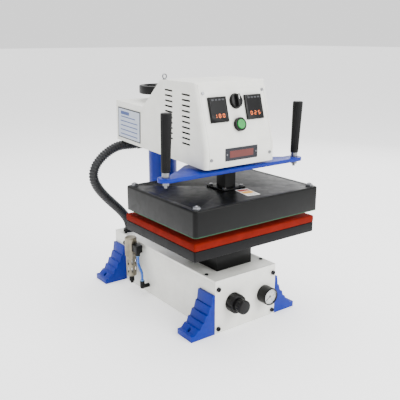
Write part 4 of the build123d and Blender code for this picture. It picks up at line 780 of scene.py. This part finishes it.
@dataclass
class ControlPanel:
    """The temperature controller, the timer, the selector, the start button and the name plate.

    Args:
        reach: How far the controllers stand from the panel's middle.
        rise: How far up the panel their middles are.
        proud: How far their faces stand out.
        digit: The width and height of a lit digit.
        digit_pitch: From one digit to the next.
        selector_rise: How far up the panel the selector's middle is.
    """

    reach: float = 0.0735
    rise: float = 0.121
    proud: float = 0.007
    digit: tuple[float, float] = (0.0065, 0.0110)
    digit_pitch: float = 0.0160
    selector_rise: float = 0.144

    def build(self) -> None:
        """Make and dress all of the panel's pieces."""
        self.plane = PanelPlane()
        softened("control_panel", SHEET_COAT, 0.5 * MM)
        softened("controllers", BLACK_PLASTIC, 1.2 * MM, 3)
        softened("switch_bodies", BLACK_PLASTIC, 0.8 * MM, 2)
        softened("selector_knob", BLACK_PLASTIC, 1.4 * MM, 3)
        finish_node("start_button", GREEN_LENS)
        finish_node("display_lenses", SMOKED_WINDOW)
        for name, side, number in (("temperature", -1, "180"), ("timer", 1, "025")):
            self._digits(name, side * self.reach, number)
            self._keys(name, side * self.reach)
        self._selector_mark()
        self._name_plate()

    def _digits(self, name: str, u: float, number: str) -> None:
        """Make a controller's lit number, low in its window.

        Args:
            name: The controller's name.
            u: Its place across the panel.
            number: The digits it shows.
        """
        width, height = self.digit
        bar = 0.0014
        bars = []
        for index, digit in enumerate(number):
            centre = u + (index - 1) * self.digit_pitch
            spots = ((0, height / 2, 1), (width / 2, height / 4, 0), (width / 2, -height / 4, 0),
                     (0, -height / 2, 1), (-width / 2, -height / 4, 0), (-width / 2, height / 4, 0),
                     (0, 0, 1))
            for lit, (du, dv, flat) in zip(SEGMENTS[digit], spots):
                if lit:
                    size = (width - bar, bar, 0.0004) if flat else (bar, height / 2 - bar, 0.0004)
                    place = self.plane.at(centre + du, self.rise - 0.0200 + dv, self.proud + 0.0002)
                    bars.append(box("bar", place, size, self.plane.turn()))
        dress(join(name + "_digits", bars), LED_ORANGE, "head")

    def _keys(self, name: str, u: float) -> None:
        """Make a controller's row of keys above its window.

        Args:
            name: The controller's name.
            u: Its place across the panel.
        """
        keys = []
        for index in range(4):
            place = self.plane.at(u + (index - 1.5) * 0.0135, self.rise + 0.0305, self.proud + 0.0004)
            keys.append(box("key", place, (0.0095, 0.0055, 0.0022), self.plane.turn(), 0.0008, 2))
        dress(join(name + "_keys", keys), KEY_GREY, "head")

    def _selector_mark(self) -> None:
        """Make the white line along the top of the selector's bar."""
        low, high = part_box("selector_knob")
        u, v = (low[0] + high[0]) / 2, self.selector_rise
        place = self.plane.at(u, v + 0.0105, 0.0222)
        dress(box("selector_mark", place, (0.0016, 0.014, 0.0005), self.plane.turn()), DIAL_WHITE,
              body_of_node("selector_knob"))

    def _name_plate(self) -> None:
        """Make the blank red field of the name plate and its two rivets."""
        finish_node("rating_plates", ETCHED_PLATE)
        front = self.plane.foot.y - 1.5 * MM
        middle = (0.0, front - 0.0002, 0.5875)
        dress(box("name_plate_field", middle, (0.098, 0.0005, 0.022)), PLATE_RED, "head")
        rivets = []
        for side in (-1, 1):
            rivets.append(turned("rivet", (side * 0.060, front, 0.5875), (0, -1, 0),
                                 ((0.0030, 0.0), (0.0030, 0.0006), (0.0022, 0.0014), (0.0008, 0.0018)), 24))
        dress(join("name_plate_rivets", rivets), BRIGHT_STEEL, "head", 60.0)


# ---------------------------------------------------------------- the head's housing and arm
@dataclass
class Head:
    """The swinging head: its housing, the heated platen, the swing bar and its grips.

    Args:
        label_centre: Where the label lies on the upper cover.
        label_size: The label's width and length.
        label_turn_deg: How far the label is turned.
    """

    label_centre: tuple[float, float] = (0.0122, -0.311)
    label_size: tuple[float, float] = (0.047, 0.082)
    label_turn_deg: float = -9.5

    def build(self) -> None:
        """Make and dress all of the head's pieces."""
        softened("head_shell", SHEET_COAT, 0.6 * MM)
        softened("rear_box_lid", SHEET_COAT, 0.8 * MM, 3)
        softened("head_floor", SHEET_COAT, 0.4 * MM)
        softened("swing_bar", BLUE_ENAMEL, 0.8 * MM, 2)
        softened("upper_cover", BLACK_COAT, 0.6 * MM, 2, 50.0)
        softened("column_collar", BLACK_COAT, 0.8 * MM)
        softened("column", BLACK_COAT, 2.0 * MM, 3, 60.0)
        softened("conduit_elbow", BLACK_PLASTIC, 0.6 * MM)
        finish_node("grips", GRIP_RUBBER)
        for name, finish in (
            ("head_fasteners", BRIGHT_STEEL), ("swing_arm", BLACK_COAT), ("pivot_bushes", SINTERED_BRONZE),
            ("heat_platen", BARE_ALUMINIUM), ("edge_gasket", GREEN_SILICONE),
            ("heating_element", BRIGHT_STEEL), ("insulation", MINERAL_WOOL), ("relays", BLACK_PLASTIC),
        ):
            finish_node(name, finish)
        self._label()
        self._data_plate()

    def _label(self) -> None:
        """Make the plain three-colour label on the upper cover."""
        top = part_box("upper_cover")[1][2]
        turn = Matrix.Rotation(math.radians(self.label_turn_deg), 3, "Z")
        across, along = turn @ Vector((1, 0, 0)), turn @ Vector((0, 1, 0))
        centre = Vector((*self.label_centre, top + 0.0002))
        width, length = self.label_size
        dress(box("cover_label", centre, (width, length, 0.0004), turn), LABEL_WHITE, "head")
        for name, finish, v, share in (("red", LABEL_RED, 0.30, 0.24), ("yellow", LABEL_YELLOW, -0.02, 0.30)):
            place = centre + along * (v * length) + Vector((0, 0, 0.0003))
            dress(box("cover_label_" + name, place, (0.84 * width, share * length, 0.0003), turn),
                  finish, "head")
        lines = [box("rule", centre + along * ((-0.26 - 0.07 * i) * length) + Vector((0, 0, 0.0003)),
                     (0.7 * width, 0.012 * length, 0.0003), turn) for i in range(3)]
        dress(join("cover_label_rules", lines), DIAL_INK, "head")

    def _data_plate(self) -> None:
        """Make the blank ruled label on the rear box's left side."""
        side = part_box("head_shell")[0][0] - 1.5 * MM
        centre = Vector((side - 0.0001, 0.169, 0.637))
        turn = Matrix.Rotation(math.radians(2.5), 3, "X")
        along, up = turn @ Vector((0, 1, 0)), turn @ Vector((0, 0, 1))
        dress(box("side_label", centre, (0.0004, 0.150, 0.104), turn), LABEL_STOCK, "head")
        rules = []
        for row, (shift, width) in enumerate(((0.005, 0.100),) + ((0.0, 0.120),) * 4):
            place = centre + along * shift + up * (0.024 - 0.016 * row) + Vector((-0.0003, 0, 0))
            rules.append(box("rule", place, (0.0003, width, 0.0035), turn))
        header = centre + along * 0.028 + up * 0.038 + Vector((-0.0003, 0, 0))
        rules.append(box("header", header, (0.0003, 0.060, 0.012), turn))
        dress(join("side_label_rules", rules), LABEL_BLUE, "head")


# ---------------------------------------------------------------- the base
@dataclass
class Base:
    """The base box on its flared feet, with the post, the lift and what stands on the lid."""

    def build(self) -> None:
        """Make and dress all of the base's pieces."""
        for end in ("front", "rear"):
            for hand in ("left", "right"):
                softened(f"foot_{end}_{hand}", BLUE_ENAMEL, 2.2 * MM, 3, 25.0)
        softened("base_tray", SHEET_COAT, 0.8 * MM)
        softened("base_lid", SHEET_COAT, 1.0 * MM, 3)
        softened("front_plate", SHEET_COAT, 0.8 * MM)
        softened("guide_block", BLACK_COAT, 0.8 * MM)
        softened("handwheel", BLACK_PLASTIC, 1.2 * MM, 3)
        softened("conduit_gland", BLACK_PLASTIC, 0.8 * MM)
        softened("power_inlet", BLACK_PLASTIC, 0.6 * MM)
        for name, finish in (
            ("base_screws", BLACK_OXIDE), ("post", BLUE_ENAMEL), ("pivot_spindle", BRIGHT_STEEL),
            ("cylinder_barrel", BARE_ALUMINIUM), ("cylinder_caps", BLACK_ANODISED),
            ("guide_bushes", SINTERED_BRONZE), ("air_valve", BLACK_PLASTIC),
        ):
            finish_node(name, finish)


@dataclass
class LiftTable:
    """The lifting table: the lower platen under its silicone pad, on the piston and guide rods."""

    def build(self) -> None:
        """Make and dress the table's pieces."""
        softened("lower_platen", BLACK_ANODISED, 0.6 * MM)
        softened("table_plate", BLACK_COAT, 0.8 * MM)
        for name, finish in (("piston_rod", CHROMED_ROD), ("guide_rods", CHROMED_ROD),
                             ("table_bolts", BRIGHT_STEEL)):
            finish_node(name, finish)
        self._pad()

    def _pad(self) -> None:
        """Make the sponge pad, whose sides bulge a little under its own skin."""
        low, high = (Vector(corner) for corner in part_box("silicone_pad"))
        size = high - low
        pad = box("silicone_sponge", (low + high) / 2, (size.x - 0.002, size.y - 0.002, size.z), None, 0.004, 4)
        activate(pad)
        bpy.ops.object.mode_set(mode="EDIT")
        bpy.ops.mesh.select_all(action="SELECT")
        bpy.ops.mesh.subdivide(number_cuts=3)
        bpy.ops.object.mode_set(mode="OBJECT")
        middle = (low.z + high.z) / 2
        for vertex in pad.data.vertices:
            # The cut sides stand out by up to a millimetre halfway up, as sponge does under its skin.
            bulge = math.cos(math.pi * min(1.0, abs(vertex.co.z - middle) / size.z)) * 0.001
            ripple = 0.0003 * math.sin(vertex.co.x * 61) * math.cos(vertex.co.y * 47)
            if abs(vertex.co.x) > size.x / 2 - 0.003:
                vertex.co.x += math.copysign(bulge + ripple, vertex.co.x)
            if abs(vertex.co.y - (low.y + high.y) / 2) > size.y / 2 - 0.003:
                vertex.co.y += math.copysign(bulge + ripple, vertex.co.y - (low.y + high.y) / 2)
        dress(pad, RED_SILICONE, body_of_node("silicone_pad"), 50.0)
        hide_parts("silicone_pad")


# ---------------------------------------------------------------- the air line
@dataclass
class AirLine:
    """The regulator and gauge on the front plate, and the filter with its tube on the left wall.

    Args:
        sweep_deg: The gauge scale's sweep.
        start_deg: Where its zero is, counter-clockwise from the right.
        dial_radius: The radius of the printed dial.
    """

    sweep_deg: float = 270.0
    start_deg: float = 215.0
    dial_radius: float = 0.0275

    def build(self) -> None:
        """Make and dress all of the air line's pieces."""
        softened("regulator_body", BLACK_PLASTIC, 1.0 * MM, 2, 40.0)
        softened("regulator_knob", BLACK_PLASTIC, 0.8 * MM, 2, 40.0)
        softened("gauge_case", BLACK_PLASTIC, 0.5 * MM, 2)
        softened("filter_head", CAST_SILVER, 0.8 * MM, 2, 40.0)
        softened("filter_guard", CAST_SILVER, 0.4 * MM, 2)
        softened("air_fittings", BLACK_PLASTIC, 0.6 * MM, 2)
        for name, finish in (
            ("gauge_dial", DIAL_WHITE), ("gauge_needle", DIAL_INK), ("gauge_lens", CLEAR_LENS),
            ("air_tube", TUBE_BLUE), ("drain_knob", BLACK_PLASTIC),
        ):
            finish_node(name, finish)
        self._scale()
        self._bezel()
        self._bowl()
        self._release_rings()

    def _dial_centre(self) -> Vector:
        """Return the middle of the dial's printed face."""
        low, high = (Vector(corner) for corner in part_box("gauge_dial"))
        return Vector(((low.x + high.x) / 2, high.y - 1.5 * MM - 0.0001, (low.z + high.z) / 2))

    def _scale(self) -> None:
        """Make the dial's scale marks and its numbers."""
        centre = self._dial_centre()
        marks, divisions = [], 20
        for index in range(divisions + 1):
            turn = math.radians(self.start_deg - self.sweep_deg * index / divisions)
            long_mark = index % 4 == 0
            length = 0.0048 if long_mark else 0.0026
            radius = self.dial_radius - 0.0030 - length / 2
            place = centre + radius * Vector((math.cos(turn), 0, math.sin(turn)))
            marks.append(box("mark", place, (length, 0.0002, 0.0009 if long_mark else 0.0005),
                             Matrix.Rotation(-turn, 3, "Y")))
        dress(join("gauge_scale", marks), DIAL_INK, "root")
        numbers = []
        for index in range(6):
            turn = math.radians(self.start_deg - self.sweep_deg * index / 5)
            place = centre + (self.dial_radius - 0.0115) * Vector((math.cos(turn), 0, math.sin(turn)))
            deselect()
            bpy.ops.object.text_add(location=place, rotation=(math.radians(90), 0, 0))
            text = bpy.context.object
            text.data.body = str(2 * index)
            text.data.size = 0.0065
            text.data.align_x, text.data.align_y = "CENTER", "CENTER"
            text.data.extrude = 0.0001
            bpy.ops.object.convert(target="MESH")
            settle(bpy.context.object)
            numbers.append(bpy.context.object)
        dress(join("gauge_numbers", numbers), DIAL_INK, "root")

    def _bezel(self) -> None:
        """Make the gauge's black lens ring, a ring turned round its axis."""
        low, high = (Vector(corner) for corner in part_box("gauge_case"))
        centre = Vector(((low.x + high.x) / 2, low.y, (low.z + high.z) / 2))
        deselect()
        bpy.ops.mesh.primitive_torus_add(location=centre, rotation=(math.radians(90), 0, 0),
                                         major_radius=0.0285, minor_radius=0.0014,
                                         major_segments=64, minor_segments=12)
        ring = bpy.context.object
        ring.name = ring.data.name = "gauge_lens_ring"
        ring.scale = (1, 1, 0.8)
        settle(ring)
        dress(ring, BLACK_PLASTIC, "root", 80.0)

    def _bowl(self) -> None:
        """Make the clear bowl that shows through the guard's slots."""
        low, high = (Vector(corner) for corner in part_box("filter_guard"))
        middle = ((low.x + high.x) / 2, (low.y + high.y) / 2, low.z + 0.0045)
        height = high.z - low.z - 0.006
        bowl = turned("filter_bowl", middle, (0, 0, 1), (
            (0.006, 0.0), (0.012, 0.0008), (0.0158, 0.004), (0.0168, 0.009), (0.0168, height)), 40)
        dress(bowl, CLEAR_LENS, "root", 60.0)
        level = turned("filter_bowl_element", (middle[0], middle[1], middle[2] + 0.045), (0, 0, 1), (
            (0.004, 0.0), (0.0085, 0.002), (0.0085, height - 0.047)), 32)
        dress(level, LABEL_WHITE, "root", 50.0)

    def _release_rings(self) -> None:
        """Make the blue release rings of the three push-in fittings."""
        rings = []
        inlet_mouth_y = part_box("air_fittings")[1][1]
        tube_low, tube_high = (Vector(corner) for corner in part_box("air_tube"))
        tube_x = (tube_low.x + tube_high.x) / 2
        for base, axis in (
            ((tube_x, tube_high.y - 0.005, tube_high.z - 0.0085), (0, 0, -1)),
            ((tube_x, tube_low.y + 0.005, tube_low.z + 0.0125), (0, 0, 1)),
            ((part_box("drain_knob")[0][0] + 0.010, inlet_mouth_y, 0.178), (0, 1, 0)),
        ):
            rings.append(self._ring(base, axis))
        dress(join("release_rings", rings), RELEASE_BLUE, "root", 50.0)

    @staticmethod
    def _ring(base: Sequence[float], axis: Sequence[float]) -> bpy.types.Object:
        """Model one release ring: a flat collar round the tube.

        Args:
            base: Where it sits on its fitting.
            axis: The way the tube leaves.

        Returns:
            The ring.
        """
        deselect()
        up = Vector(axis).to_track_quat("Z", "Y").to_matrix().to_4x4()
        bpy.ops.mesh.primitive_torus_add(major_radius=0.0066, minor_radius=0.0014, major_segments=36,
                                         minor_segments=10)
        ring = bpy.context.object
        ring.matrix_world = Matrix.Translation(Vector(base) + Vector(axis) * 0.001) @ up
        settle(ring)
        return ring


def main() -> None:
    """Build the studio and every sub-assembly, in order."""
    logging.basicConfig(level=logging.INFO, format="%(message)s")
    Studio().build()
    for assembly in (Conduit(), Base(), LiftTable(), Head(), ControlPanel(), AirLine()):
        assembly.build()


if __name__ == "__main__":
    main()
